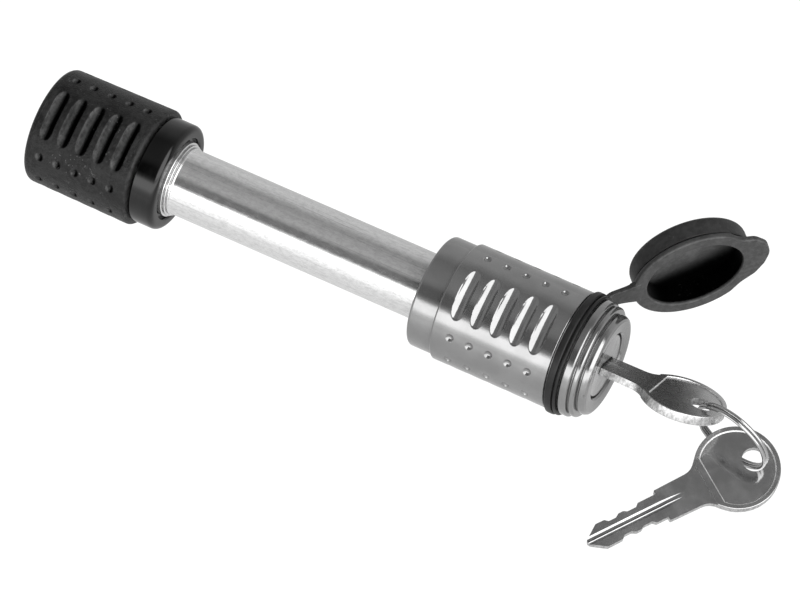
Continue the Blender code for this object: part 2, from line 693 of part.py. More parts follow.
def make_split_ring(parent, parent_matrix):
    """Two turns of flat wire that lie side by side."""
    half = RING_WIRE / 2
    ring = turned("split_ring", [
        (2 * half, RING_RADIUS - half), (2 * half, RING_RADIUS + half, 0.25 * MM),
        (-2 * half, RING_RADIUS + half, 0.25 * MM), (-2 * half, RING_RADIUS - half)], FINE)
    ring.parent = parent
    turn = RING_NORMAL.to_track_quat("Z", "Y").to_matrix().to_4x4()
    ring.matrix_local = parent_matrix.inverted() @ Matrix.Translation(RING_CENTRE) @ turn
    finish(ring, PLATED_STEEL, parent)


def ring_tangent(point):
    """The ring's direction where it passes nearest to the point, and that place on its middle."""
    out = point - RING_CENTRE
    out = (out - RING_NORMAL * out.dot(RING_NORMAL)).normalized()
    return RING_NORMAL.cross(out), RING_CENTRE + out * RING_RADIUS


# ---------------------------------------------------------------- cap

def make_cap(parent):
    """The cap, in a frame whose origin is the middle of its mouth: +Z is the way it opens, and the
    tab points along +X."""
    turn = Matrix.Rotation(CAP_OPENING_ANGLE + math.pi / 2, 4, "Z")
    facing = turn @ Matrix(((1, 0, 0, 0), (0, 0, -1, 0), (0, 1, 0, 0), (0, 0, 0, 1)))
    frame = facing @ Matrix.Translation((CAP_REACH, 0, -CAP_SETBACK))
    cap = turned("dust_cap", [
        (0, CAP_MOUTH_RADIUS), (0, CAP_RIM_RADIUS, 0.4 * MM),
        (-CAP_RIM_THICKNESS, CAP_RIM_RADIUS, 0.3 * MM), (-CAP_RIM_THICKNESS, CAP_WALL_RADIUS),
        (-CAP_DEPTH, CAP_WALL_RADIUS, 1.4 * MM), (-CAP_DEPTH, 0),
        (-CAP_DEPTH + 1.5 * MM, 0), (-CAP_DEPTH + 1.5 * MM, CAP_MOUTH_RADIUS)], FINE)
    cap.parent = parent
    cap.matrix_local = frame
    half_tab = 0.62
    tab_edge = [(8 * MM + 9.8 * MM * math.cos(a), 9.6 * MM * math.sin(a))
                for a in [-1.25 + 2.5 * i / 14 for i in range(15)]]
    root = ring_points((0, 0), 12.6 * MM, half_tab, -half_tab, 9)
    tab = plate("cap_tab", [tab_edge + root], CAP_RIM_THICKNESS, parent, CUTTERS)
    strap = plate("cap_arm", [[(-12.6 * MM, -3.4 * MM), (-12.6 * MM, 3.4 * MM),
                               (-16.4 * MM, 2.7 * MM), (-16.4 * MM, -2.7 * MM)]],
                  1.2 * MM, parent, CUTTERS)
    for cutter in (tab, strap):
        cutter.matrix_local = frame @ Matrix.Translation((0, 0, -CAP_RIM_THICKNESS / 2))
        boolean(cap, cutter, "UNION")
    finish(cap, RUBBER, parent)


def make_tether(parent):
    """The strap's fixed end: from the band out to the bend."""
    start = Vector((45.1 * MM, BAND_RADIUS + 0.85 * MM, 0))
    bend = Vector((48.6 * MM, 16.9 * MM, 0))
    middle = (start + bend) / 2 + Vector((-0.3, 0.5, 0)) * MM
    half = 0.55 * MM
    lower, upper = [], []
    for a, b in ((start, middle), (middle, bend)):
        across = Vector((-(b - a).y, (b - a).x, 0)).normalized() * half
        lower.append(a - across)
        upper.append(a + across)
    lower.append(bend - across)
    upper.append(bend + across)
    strap = plate("cap_tether", [[p.xy for p in lower] + [p.xy for p in reversed(upper)]],
                  5.2 * MM, parent)
    finish(strap, RUBBER, parent, smooth=False)


# ---------------------------------------------------------------- assembly

def build():
    frame = empty("lock_frame")
    slide = empty("head_slide", parent=frame)
    swivel = empty("head_swivel", parent=slide)
    turn = empty("plug_turn", parent=swivel)
    bolts = [empty(f"bolt_{n}_slide", parent=swivel) for n in (1, 2)]
    key_slide = empty("key_slide", parent=turn)
    lifts = {side: empty(f"wafer_lift_{name}", parent=turn)
             for side, name in ((1, "a"), (-1, "b"))}

    make_pin(frame)
    make_grip(frame)
    make_bushing(slide)
    make_shell(swivel)
    make_band(swivel)
    make_housing(swivel)
    make_carrier(swivel)
    for number, side in ((1, 1), (2, -1)):
        make_bolt(number, side, bolts[number - 1])
    make_plug(turn)
    make_cam(turn)
    make_wafers(lifts)
    make_wafer_springs(turn)

    key_matrix = inserted_key_matrix()
    make_key("key_inserted", key_slide, key_matrix)
    hole = key_matrix @ Vector((KEY_HOLE_CENTRE, 0, 0))
    ring_axis, ring_point = ring_tangent(hole)
    spare_axis, spare_point = ring_tangent(SPARE_HOLE)
    ring_swing, ring_matrix = pivot("ring_swing", ring_axis, ring_point, key_slide,
                                    Matrix.Identity(4))
    make_split_ring(ring_swing, ring_matrix)
    spare_swing, spare_matrix = pivot("spare_key_swing", spare_axis, spare_point, ring_swing,
                                      ring_matrix)
    make_key("key_spare", spare_swing, spare_matrix.inverted() @ spare_key_matrix())

    side = empty("cap_side", rotation=(CAP_TILT, 0, 0), parent=swivel)
    make_tether(side)
    hinge = empty("cap_hinge", CAP_HINGE, parent=side)
    make_cap(hinge)
    stand(frame)


def stand(frame):
    """Moves the whole lock so that the middle of its box is over the origin and it stands on z = 0."""
    graph = bpy.context.evaluated_depsgraph_get()
    graph.update()
    low, high = Vector((1, 1, 1)), Vector((-1, -1, -1))
    for obj in PARTS.objects:
        if obj.type != "MESH":
            continue
        evaluated = obj.evaluated_get(graph)
        for corner in evaluated.data.vertices:
            at = evaluated.matrix_world @ corner.co
            low = Vector(map(min, low, at))
            high = Vector(map(max, high, at))
    frame.location = (-(low.x + high.x) / 2, -(low.y + high.y) / 2, -low.z)


build()
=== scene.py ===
"""Hitch pin lock: the looks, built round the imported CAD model.

Everything is worked out in the pin's own frame, in millimetres turned into metres with MM: +X runs
along the pin from the grip to the lock head, and the pin's axis is y = z = 0. ORIGIN is where that
frame lies in the row frame, read from the CAD model's boxes.
"""

import json
import math

import bmesh
import bpy
import numpy as np
from mathutils import Matrix, Vector


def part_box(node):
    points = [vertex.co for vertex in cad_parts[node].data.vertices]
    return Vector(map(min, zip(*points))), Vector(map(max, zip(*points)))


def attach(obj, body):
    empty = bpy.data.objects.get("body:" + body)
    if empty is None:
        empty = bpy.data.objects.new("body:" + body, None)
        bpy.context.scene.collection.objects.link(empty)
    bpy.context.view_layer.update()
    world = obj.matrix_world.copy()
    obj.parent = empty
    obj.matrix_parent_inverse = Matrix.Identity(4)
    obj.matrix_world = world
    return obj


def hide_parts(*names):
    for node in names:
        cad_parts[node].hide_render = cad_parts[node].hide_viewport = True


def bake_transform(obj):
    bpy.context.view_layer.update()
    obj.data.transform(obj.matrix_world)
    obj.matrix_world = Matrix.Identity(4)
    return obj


MM = 0.001

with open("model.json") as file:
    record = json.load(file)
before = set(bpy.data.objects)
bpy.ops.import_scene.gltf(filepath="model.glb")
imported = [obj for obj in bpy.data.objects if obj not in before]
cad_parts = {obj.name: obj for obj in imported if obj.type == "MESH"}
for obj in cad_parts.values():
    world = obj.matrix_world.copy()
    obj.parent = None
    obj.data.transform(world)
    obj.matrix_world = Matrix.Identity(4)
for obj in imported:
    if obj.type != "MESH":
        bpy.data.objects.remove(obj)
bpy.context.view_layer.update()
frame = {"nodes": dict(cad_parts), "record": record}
NODES = frame["nodes"]

# The pin's frame
GRIP_END = -90.6 * MM
PIN_LOW, PIN_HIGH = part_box("hitch_pin")
ORIGIN = Vector((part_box("grip_sleeve")[0].x - GRIP_END,
                 (PIN_LOW.y + PIN_HIGH.y) / 2, (PIN_LOW.z + PIN_HIGH.z) / 2))

# Pin
PIN_RADIUS = 7.9375 * MM
TANG_RADIUS = 7.0 * MM
FLANGE_RADIUS = 9.1 * MM
# Where round the pin the wrapped coordinates of its materials start
SEAM_ANGLE = math.radians(-121.5)
# The fine line drawn along the pin, measured round it from there
DRAWN_LINE = 3.33 * MM

# Grip
GRIP_RADIUS = (13.8 * MM, 14.1 * MM)
GRIP_FRONT = -63.6 * MM
GRIP_BORE = 11.3 * MM
COLLAR = (-63.3 * MM, -57.2 * MM)
COLLAR_RADIUS = 12.8 * MM
COLLAR_BORE = 9.85 * MM

# Slots and dimples, the same pattern on the grip and on the head
SLOTS_IN_A_ROW = 5
SLOT_ROWS = [math.radians(113 + 120 * i) for i in range(3)]
DIMPLE_ROWS = [row + side * math.radians(45) for row in SLOT_ROWS for side in (-1, 1)]
SLOT_HALF_ANGLE = math.radians(26)
DIMPLE_RADIUS = 0.95 * MM
DIMPLE_DEPTH = 0.56 * MM
EDGE_SOFTNESS = 0.05 * MM
# How flat a slot's floor runs before it rises to its ends
SLOT_FLATNESS = 2.8
# Deeper than this under the outer surface, the pattern no longer applies
PATTERN_MARGIN = 0.25 * MM
# Each slot's pitch along the pin, width and depth
GRIP_SLOTS = (4.64 * MM, 2.9 * MM, 1.6 * MM)
HEAD_SLOTS = (4.85 * MM, 3.3 * MM, 0.95 * MM)
# The step of the mesh where slots and dimples are cut, and how far under it the coarse mesh starts
FINE_STEP = 0.13 * MM
FINE_MARGIN = 0.3 * MM

# Lock head
NOSE = 8.4 * MM
NOSE_STEP = 14.8 * MM
NOSE_RADIUS = 13.25 * MM
HEAD_RADIUS = 14.0 * MM
BAND = (43.6 * MM, 46.6 * MM)
BAND_RADIUS = 14.65 * MM
BAND_SEAT_RADIUS = 13.2 * MM
CAVITY_RADIUS = 12.1 * MM
CAVITY_FLOOR = 20.3 * MM
BUSHING_SEAT = 10.3 * MM
FACE = 52.7 * MM
PLUG_FACE = 52.0 * MM
PLUG_RADIUS = 7.55 * MM
PLUG_BORE = 7.85 * MM
HOUSING_BACK = 33.4 * MM
KEY_ROLL = math.radians(-34)
KEYWAY_HALF = (3.35 * MM, 1.2 * MM)
KEYWAY_BACK = 33.0 * MM
MOUTH_RADIUS = 1.6 * MM
MOUTH_REACH = 2.3 * MM
MOUTH_DEPTH = 1.4 * MM
WAFERS = 6
WAFER_FIRST = 36.2 * MM
WAFER_PITCH = 2.6 * MM
WAFER_SLOT = 1.5 * MM
WAFER_HALF = (9.0 * MM, 2.6 * MM)
SPRING_POCKET = (-3.2 * MM, 5.2 * MM)
PLUG_TAIL_END = 29.0 * MM
TAIL_HALF = 2.3 * MM

# Keys
BLADE_LENGTH = 18.7 * MM
BLADE_HALF = 3.0 * MM
NECK_HALF = 3.9 * MM
BOW_CENTRE = 38.0 * MM
BOW_RADIUS = 9.8 * MM
KEY_HOLE = 42.4 * MM
KEY_HOLE_RADIUS = 2.8 * MM
KEY_THICKNESS = 1.7 * MM
BOW_THICKNESS = 2.3 * MM
PANEL_START = 30.4 * MM
PANEL_ARC = 2.42
# The bow's half height where the flare of the neck meets it
FLARE_HALF = 6.4 * MM
SPARE_HOLE = Vector((89.66, -0.56, -10.76)) * MM
SPARE_YAW, SPARE_PITCH, SPARE_ROLL = (math.radians(a) for a in (56.5, 3.4, 13.2))

# Split ring
RING_CENTRE = Vector((84.04, -0.99, -4.18)) * MM
RING_NORMAL = Vector((-0.199, -0.974, -0.106)).normalized()
RING_RADIUS = 9.4 * MM
RING_WIRE = 0.94 * MM
RING_START = math.radians(200)
RING_STEP = math.radians(26)

# Dust cap
CAP_TILT = math.radians(5.5)
CAP_HINGE = Vector((49.2, 16.65, 0.0)) * MM
CAP_AZIMUTH = math.radians(-44.1)
CAP_REACH = 16.65 * MM
CAP_SETBACK = 1.65 * MM
CAP_RIM_RADIUS = 14.7 * MM
CAP_WALL_RADIUS = 13.9 * MM
CAP_MOUTH_RADIUS = 11.45 * MM
CAP_DEPTH = 6.9 * MM
CAP_RIM_THICKNESS = 1.5 * MM
CUP_BORE = CAP_MOUTH_RADIUS + 0.06 * MM
STRAP_HALF = 3.6 * MM


# ---------------------------------------------------------------- materials

class Graph:
    """A node tree and short calls that add nodes to it."""

    def __init__(self, tree):
        self.tree = tree

    def node(self, kind, **values):
        made = self.tree.nodes.new(kind)
        for key, value in values.items():
            setattr(made, key, value)
        return made

    def link(self, source, target):
        self.tree.links.new(source, target)

    def math(self, operation, first, second=0.0):
        made = self.node("ShaderNodeMath", operation=operation)
        for socket, value in zip(made.inputs, (first, second)):
            if isinstance(value, (int, float)):
                socket.default_value = value
            else:
                self.link(value, socket)
        return made.outputs[0]

    def ramp(self, value, low, high, start=0.0, end=1.0):
        """value from low..high to start..end, held beyond that."""
        made = self.node("ShaderNodeMapRange", interpolation_type="SMOOTHSTEP")
        for index, number in enumerate((low, high, start, end), 1):
            made.inputs[index].default_value = number
        self.link(value, made.inputs[0])
        return made.outputs[0]

    def split(self, vector):
        """The vector's x, y and z."""
        made = self.node("ShaderNodeSeparateXYZ")
        self.link(vector, made.inputs[0])
        return made.outputs

    def scale(self, vector, factor):
        made = self.node("ShaderNodeVectorMath", operation="SCALE")
        self.link(vector, made.inputs[0])
        if isinstance(factor, float):
            made.inputs["Scale"].default_value = factor
        else:
            self.link(factor, made.inputs["Scale"])
        return made.outputs[0]

    def mix(self, factor, first, second):
        """From the first colour to the second. A float is a grey, and three are a colour."""
        made = self.node("ShaderNodeMix", data_type="RGBA")
        self.link(factor, made.inputs[0])
        for index, value in ((6, first), (7, second)):
            if isinstance(value, float):
                made.inputs[index].default_value = (value, value, value, 1.0)
            elif isinstance(value, tuple):
                made.inputs[index].default_value = (*value, 1.0)
            else:
                self.link(value, made.inputs[index])
        return made.outputs[2]


class Shader(Graph):
    """A material with one Principled shader. colour is the grey that its tints are shares of."""

    def __init__(self, name, colour, roughness, metallic=0.0, specular=0.5):
        self.material = bpy.data.materials.new(name)
        self.material.use_nodes = True
        super().__init__(self.material.node_tree)
        self.out = self.tree.nodes["Principled BSDF"]
        self.colour = colour
        self.out.inputs["Base Color"].default_value = (colour, colour, colour, 1.0)
        self.out.inputs["Roughness"].default_value = roughness
        self.out.inputs["Metallic"].default_value = metallic
        self.out.inputs["Specular IOR Level"].default_value = specular
        self.coords = self.node("ShaderNodeTexCoord").outputs["Object"]

    def paint(self, colour_out):
        self.link(colour_out, self.out.inputs["Base Color"])
        return colour_out

    def around(self, radius):
        """Coordinates in millimetres: along the pin, and round it at that radius."""
        turn = self.node("ShaderNodeMapping")
        turn.inputs["Rotation"].default_value = (SEAM_ANGLE, 0, 0)
        self.link(self.coords, turn.inputs["Vector"])
        x, y, z = self.split(turn.outputs[0])
        angle = self.math("ARCTAN2", z, y)
        join = self.node("ShaderNodeCombineXYZ")
        self.link(self.math("MULTIPLY", x, 1 / MM), join.inputs[0])
        self.link(self.math("MULTIPLY", angle, radius / MM), join.inputs[1])
        return join.outputs[0]

    def noise(self, coords, scale, detail=2.0, stretch=(1, 1, 1), roughness=0.5, offset=0.0):
        """Noise from 0 to 1, with scale in cycles for each unit of the coordinates."""
        mapping = self.node("ShaderNodeMapping")
        mapping.inputs["Scale"].default_value = stretch
        mapping.inputs["Location"].default_value = (offset, offset * 0.7, offset * 1.3)
        self.link(coords, mapping.inputs["Vector"])
        made = self.node("ShaderNodeTexNoise")
        made.inputs["Scale"].default_value = scale
        made.inputs["Detail"].default_value = detail
        made.inputs["Roughness"].default_value = roughness
        self.link(mapping.outputs[0], made.inputs["Vector"])
        return made.outputs["Fac"]

    def tint(self, factor, strength_low, strength_high):
        """Scales the base colour between two strengths as the factor goes from 0 to 1."""
        low, high = (min(1.0, self.colour * strength) for strength in (strength_low, strength_high))
        return self.paint(self.mix(factor, low, high))

    def blend_to(self, colour_out, factor, grey):
        return self.paint(self.mix(factor, colour_out, grey))

    def scaled_by(self, attribute, colour_out):
        """The colour times a number that the mesh carries, which paints light and shade on it.
        Where that is below 1, Metallic rises, so that the shine darkens with the colour. An export
        drops a linked specular level, but keeps a linked Metallic."""
        number = self.node("ShaderNodeAttribute", attribute_name=attribute).outputs["Fac"]
        share = self.math("MINIMUM", number, 1.0)
        self.link(self.math("SUBTRACT", 1.0, share), self.out.inputs["Metallic"])
        return self.paint(self.scale(colour_out, number))

    def rough(self, factor, low, high):
        self.link(self.ramp(factor, 0.3, 0.7, low, high), self.out.inputs["Roughness"])

    def bump(self, height, depth):
        """depth in metres between heights 0 and 1."""
        made = self.node("ShaderNodeBump")
        made.inputs["Distance"].default_value = depth
        self.link(height, made.inputs["Height"])
        self.link(made.outputs[0], self.out.inputs["Normal"])


def rubber(name, colour, roughness, grain, dust=0.0, mottling=0.25, specular=0.3, shaded=False):
    """Dull rubber. grain is how deep its texture is, and shaded takes the mesh's shade number,
    which paints light and shade on it.
    """
    s = Shader(name, colour, roughness, specular=specular)
    fine = s.noise(s.coords, 2600, 2)
    broad = s.noise(s.coords, 160, 3)
    mottle = s.math("MULTIPLY", s.math("ADD", broad, s.noise(s.coords, 900, 3, offset=5.0)), 0.5)
    tinted = s.tint(s.ramp(mottle, 0.40, 0.62), 1 - mottling, 1 + mottling)
    if shaded:
        tinted = s.scaled_by("shade", tinted)
    if dust:
        specks = s.ramp(s.noise(s.coords, 1500, 2, offset=3.1), 0.64, 0.72)
        patches = s.ramp(s.noise(s.coords, 120, 2, offset=7.7), 0.42, 0.62)
        s.blend_to(tinted, s.math("MULTIPLY", s.math("MULTIPLY", specks, patches), dust), 0.10)
    s.rough(broad, roughness - 0.06, roughness + 0.08)
    s.bump(s.math("ADD", fine, s.math("MULTIPLY", broad, 0.6)), grain)
    return s.material


def gloss_black():
    s = Shader("gloss_black", 0.002, 0.10, specular=0.40)
    around = s.around(COLLAR_RADIUS)
    smears = s.noise(around, 0.35, 3, stretch=(1, 0.4, 1))
    s.tint(s.ramp(smears, 0.4, 0.7), 0.6, 1.8)
    s.rough(smears, 0.09, 0.17)
    s.bump(s.noise(around, 0.8, 2), 0.006 * MM)
    return s.material


def shank_steel():
    """Plated steel: fine lines along the pin, stains, spots, scratches and the drawn line."""
    s = Shader("shank_steel", 0.76, 0.18, metallic=0.87)
    around = s.around(PIN_RADIUS)
    lines = s.noise(around, 1.0, 3, stretch=(0.015, 2.4, 1), roughness=0.6)
    scratch = s.ramp(s.noise(around, 1.0, 0, stretch=(0.03, 5.0, 1), offset=4.0), 0.70, 0.76)
    stains = s.noise(around, 1.1, 5, stretch=(0.5, 1.2, 1), roughness=0.8, offset=2.0)
    spots = s.ramp(s.noise(around, 2.6, 3, stretch=(0.7, 1, 1), offset=9.0), 0.62, 0.70)
    tone = s.tint(s.ramp(stains, 0.38, 0.58), 0.90, 1.04)
    tone = s.blend_to(tone, s.math("MULTIPLY", spots, 0.22), 0.30)
    tone = s.blend_to(tone, s.math("MULTIPLY", scratch, 0.35), 0.22)
    round_pin = s.split(around)[1]
    away = s.math("ABSOLUTE", s.math("SUBTRACT", round_pin, DRAWN_LINE / MM))
    s.blend_to(tone, s.math("MULTIPLY", s.ramp(away, 0.12, 0.03), 0.6), 0.15)
    s.rough(stains, 0.10, 0.18)
    s.bump(s.math("ADD", lines, s.math("MULTIPLY", stains, 0.1)), 0.004 * MM)
    return s.material


def chrome(name="chrome", colour=0.285, roughness=0.08, metallic=0.81, radius=HEAD_RADIUS):
    s = Shader(name, colour, roughness, metallic=metallic)
    around = s.around(radius)
    cloud = s.noise(around, 0.16, 3, offset=1.0)
    grain = s.noise(around, 2.2, 3, roughness=0.65)
    s.tint(s.ramp(cloud, 0.35, 0.65), 0.94, 1.06)
    s.rough(grain, roughness * 0.7, roughness * 1.5)
    s.bump(s.math("ADD", s.math("MULTIPLY", grain, 0.45), cloud), 0.02 * MM)
    return s.material


def turned_metal(name, colour, roughness, metallic, radius):
    """Metal with fine lines that run round the pin's axis."""
    s = Shader(name, colour, roughness, metallic=metallic)
    around = s.around(radius)
    lines = s.noise(around, 1.0, 2, stretch=(9, 0.05, 1), roughness=0.6)
    cloud = s.noise(around, 0.3, 3)
    s.tint(s.ramp(cloud, 0.3, 0.7), 0.9, 1.1)
    s.rough(cloud, roughness * 0.8, roughness * 1.4)
    s.bump(lines, 0.006 * MM)
    return s.material


def flat_metal(name, colour, roughness, metallic, grain=900, depth=0.006 * MM, uneven=1.0):
    s = Shader(name, colour, roughness, metallic=metallic)
    fine = s.noise(s.coords, grain, 3)
    cloud = s.noise(s.coords, 140, 3, offset=0.4)
    s.tint(s.ramp(cloud, 0.35, 0.65), 0.88, 1.12)
    s.rough(fine, roughness * (1 - 0.2 * uneven), roughness * (1 + 0.3 * uneven))
    s.bump(fine, depth)
    return s.material


def stamped_edge():
    """The sheared edge of a stamped key: bright, with dents and streaks across it."""
    s = Shader("stamped_edge", 0.46, 0.24, metallic=0.85)
    dents = s.noise(s.coords, 1800, 3, stretch=(1, 1, 0.25), roughness=0.6)
    patches = s.noise(s.coords, 420, 3, offset=1.7)
    s.tint(s.ramp(dents, 0.38, 0.60), 0.70, 1.12)
    s.rough(patches, 0.2, 0.4)
    s.bump(dents, 0.012 * MM)
    return s.material


def coloured_metal(name, colour, roughness):
    s = Shader(name, 0.5, roughness, metallic=0.9)
    cloud = s.noise(s.coords, 300, 3)
    dark, light = (tuple(c * strength for c in colour) for strength in (0.85, 1.1))
    s.paint(s.mix(cloud, dark, light))
    s.bump(s.noise(s.coords, 1500, 2), 0.006 * MM)
    return s.material


MATERIALS = {
    "plated_steel": shank_steel(),
    "rubber": rubber("rubber", 0.029, 0.50, 0.04 * MM),
    "band_rubber": rubber("band_rubber", 0.010, 0.45, 0.03 * MM),
    # The cap and the grip take the painted light and shade that their meshes carry
    "cap_rubber": rubber("cap_rubber", 0.029, 0.50, 0.04 * MM, dust=0.25, shaded=True),
    "grip_rubber": rubber("grip_rubber", 0.013, 0.42, 0.17 * MM, dust=0.8, mottling=0.5,
                          specular=0.24, shaded=True),
    "gloss_black": gloss_black(),
    "chrome": chrome(),
    "face_chrome": chrome("face_chrome", 0.285, 0.08, 0.84, 12 * MM),
    "plug_metal": flat_metal("plug_metal", 0.42, 0.20, 0.75, grain=500),
    # Near black: painted shade deep in the keyway
    "keyway": flat_metal("keyway", 0.03, 0.40, 0.5, grain=900),
    "nickel": flat_metal("nickel", 0.40, 0.11, 0.94, grain=500, depth=0.0012 * MM),
    # A lighter, rougher copy of the nickel, for the key in the lock
    "lighter_nickel": flat_metal("lighter_nickel", 0.50, 0.27, 0.94, grain=500, depth=0.0003 * MM,
                              uneven=0.2),
    "key_edge": stamped_edge(),
    # A light finish that paints a highlight on the sloped edges of the keys' sunk panels
    "highlit_edge": flat_metal("highlit_edge", 0.72, 0.42, 0.9),
    "ring_steel": flat_metal("ring_steel", 0.42, 0.08, 0.9, grain=700, depth=0.002 * MM),
    "brass": coloured_metal("brass", (0.78, 0.60, 0.32), 0.3),
    "bronze": coloured_metal("bronze", (0.50, 0.36, 0.22), 0.42),
    "hard_steel": turned_metal("hard_steel", 0.36, 0.3, 0.85, 10 * MM),
    "core_plastic": rubber("core_plastic", 0.05, 0.45, 0.01 * MM),
}


# ---------------------------------------------------------------- mesh helpers

def new_object(name, mesh, slot, material=None):
    """An object in the pin's frame, in the material slot's finish."""
    obj = bpy.data.objects.new(name, mesh)
    obj.location = ORIGIN
    bpy.context.scene.collection.objects.link(obj)
    mesh.materials.clear()
    mesh.materials.append(MATERIALS[material or slot])
    return obj


def smooth(obj, angle=34):
    obj.data.shade_smooth()
    obj.data.set_sharp_from_angle(angle=math.radians(angle))
    return obj


def rounded(corners, segments=6):
    """Corner points (x, y[, radius]) as an outline whose stated corners are arcs."""
    outline = []
    last = len(corners) - 1
    for i, corner in enumerate(corners):
        here = Vector(corner[:2])
        if len(corner) < 3 or i in (0, last):
            outline.append(here)
            continue
        before = (Vector(corners[i - 1][:2]) - here).normalized()
        after = (Vector(corners[i + 1][:2]) - here).normalized()
        half = before.angle(after) / 2
        reach = corner[2] / math.tan(half)
        centre = here + (before + after).normalized() * corner[2] / math.sin(half)
        start = here + before * reach - centre
        end = here + after * reach - centre
        sweep = start.angle_signed(end)
        for step in range(segments + 1):
            outline.append(centre + Matrix.Rotation(-sweep * step / segments, 2) @ start)
    return outline


def divided(outline, longest, closed=False, fine_from=0.0):
    """The outline with its long stretches cut into steps of at most this length. Stretches with an
    end below fine_from are left coarser."""
    points = []
    ends = list(outline[1:]) + ([outline[0]] if closed else [])
    for a, b in zip(outline, ends):
        step = longest if min(a.y, b.y) >= fine_from else 2 * MM
        count = max(1, math.ceil((b - a).length / step))
        points += [a.lerp(b, i / count) for i in range(count)]
    if not closed:
        points.append(outline[-1])
    return points


def turned(name, corners, slot, steps=160, longest=2 * MM, relief=None, closed=True,
           material=None, fine_from=0.0):
    """A body turned round the pin's axis from corners (x, radius[, corner radius]).
    relief(x, radius, angle) is how far the surface lies under the turned one."""
    outline = divided(rounded(corners), longest, closed, fine_from)
    x = np.array([p[0] for p in outline])[:, None]
    r = np.array([p[1] for p in outline])[:, None]
    angle = np.linspace(0, 2 * math.pi, steps, endpoint=False)[None, :]
    radius = r - (relief(x, r, angle) if relief else 0) + 0 * angle
    points = np.stack([x + 0 * angle, radius * np.cos(angle), radius * np.sin(angle)], -1)
    rings = len(outline)
    first = np.arange(rings if closed else rings - 1)[:, None] * steps
    second = (first + steps) % (rings * steps)
    across = np.arange(steps)[None, :]
    beside = (across + 1) % steps
    faces = np.stack([first + across, second + across, second + beside, first + beside], -1)
    mesh = bpy.data.meshes.new(name)
    mesh.from_pydata(points.reshape(-1, 3).tolist(), [], faces.reshape(-1, 4).tolist())
    tidy_mesh(mesh)
    return smooth(new_object(name, mesh, slot, material))


def flatten(obj, normal):
    """Faces square to the normal are shaded flat, up to their edges."""
    for face in obj.data.polygons:
        if abs(face.normal.dot(normal)) > 0.9995:
            face.use_smooth = False


def tidy_mesh(mesh):
    """Joins points that coincide and turns every face outwards."""
    shape = bmesh.new()
    shape.from_mesh(mesh)
    bmesh.ops.remove_doubles(shape, verts=shape.verts, dist=0.0005 * MM)
    bmesh.ops.recalc_face_normals(shape, faces=shape.faces)
    shape.to_mesh(mesh)
    shape.free()


def arc(centre, radius, start, end, count):
    """count points round the centre, from one angle to the other."""
    angles = [start + (end - start) * i / (count - 1) for i in range(count)]
    return [Vector((centre[0] + radius * math.cos(a), centre[1] + radius * math.sin(a)))
            for a in angles]


def plate_mesh(name, outlines, low, high, edge=0.0):
    """A flat plate between two heights: the first outline is its edge and the others are holes.
    edge is the radius of its rounded edges."""
    curve = bpy.data.curves.new(name, "CURVE")
    curve.dimensions = "2D"
    curve.fill_mode = "BOTH"
    curve.extrude = (high - low) / 2 - edge
    curve.bevel_depth = edge
    curve.bevel_resolution = 3 if edge else 0
    curve.offset = -edge
    for outline in outlines:
        spline = curve.splines.new("POLY")
        spline.points.add(len(outline) - 1)
        for point, at in zip(spline.points, outline):
            point.co = (at[0], at[1], 0, 1)
        spline.use_cyclic_u = True
    mesh = mesh_of(curve)
    mesh.name = name
    mesh.transform(Matrix.Translation((0, 0, (high + low) / 2)))
    return mesh


def wire_mesh(name, points, radius, resolution=3):
    """A round wire with closed ends."""
    curve = bpy.data.curves.new(name, "CURVE")
    curve.dimensions = "3D"
    curve.bevel_depth = radius
    curve.bevel_resolution = resolution
    curve.use_fill_caps = True
    spline = curve.splines.new("POLY")
    spline.points.add(len(points) - 1)
    for point, at in zip(spline.points, points):
        point.co = (*at, 1)
    return mesh_of(curve)


def mesh_of(curve):
    """The curve's mesh. The curve itself goes."""
    guide = bpy.data.objects.new("guide", curve)
    bpy.context.scene.collection.objects.link(guide)
    graph = bpy.context.evaluated_depsgraph_get()
    mesh = bpy.data.meshes.new_from_object(guide.evaluated_get(graph))
    bpy.data.objects.remove(guide)
    bpy.data.curves.remove(curve)
    tidy_mesh(mesh)
    return mesh


def cut(mesh, cutters, operation="DIFFERENCE"):
    """The mesh less (or joined with) the other meshes."""
    target = bpy.data.objects.new("cut_target", mesh)
    bpy.context.scene.collection.objects.link(target)
    others = []
    for number, cutter in enumerate(cutters):
        other = bpy.data.objects.new(f"cutter_{number}", cutter)
        bpy.context.scene.collection.objects.link(other)
        others.append(other)
        modifier = target.modifiers.new(other.name, "BOOLEAN")
        modifier.operation = operation
        modifier.solver = "EXACT"
        modifier.object = other
    graph = bpy.context.evaluated_depsgraph_get()
    graph.update()
    result = bpy.data.meshes.new_from_object(target.evaluated_get(graph))
    for obj in [target, *others]:
        bpy.data.objects.remove(obj)
    tidy_mesh(result)
    return result


def joined(name, meshes):
    """One mesh from several."""
    shape = bmesh.new()
    for mesh in meshes:
        shape.from_mesh(mesh)
    result = bpy.data.meshes.new(name)
    shape.to_mesh(result)
    shape.free()
    return result


# ---------------------------------------------------------------- slots and dimples

def angle_from(angle, middle):
    """How far an angle is from the middle one, from -pi to pi."""
    return (angle - middle + math.pi) % (2 * math.pi) - math.pi


def soft_positive(height):
    """The height where it is above zero, else zero, with a rounded corner between."""
    return (height + np.sqrt(height ** 2 + EDGE_SOFTNESS ** 2)) / 2


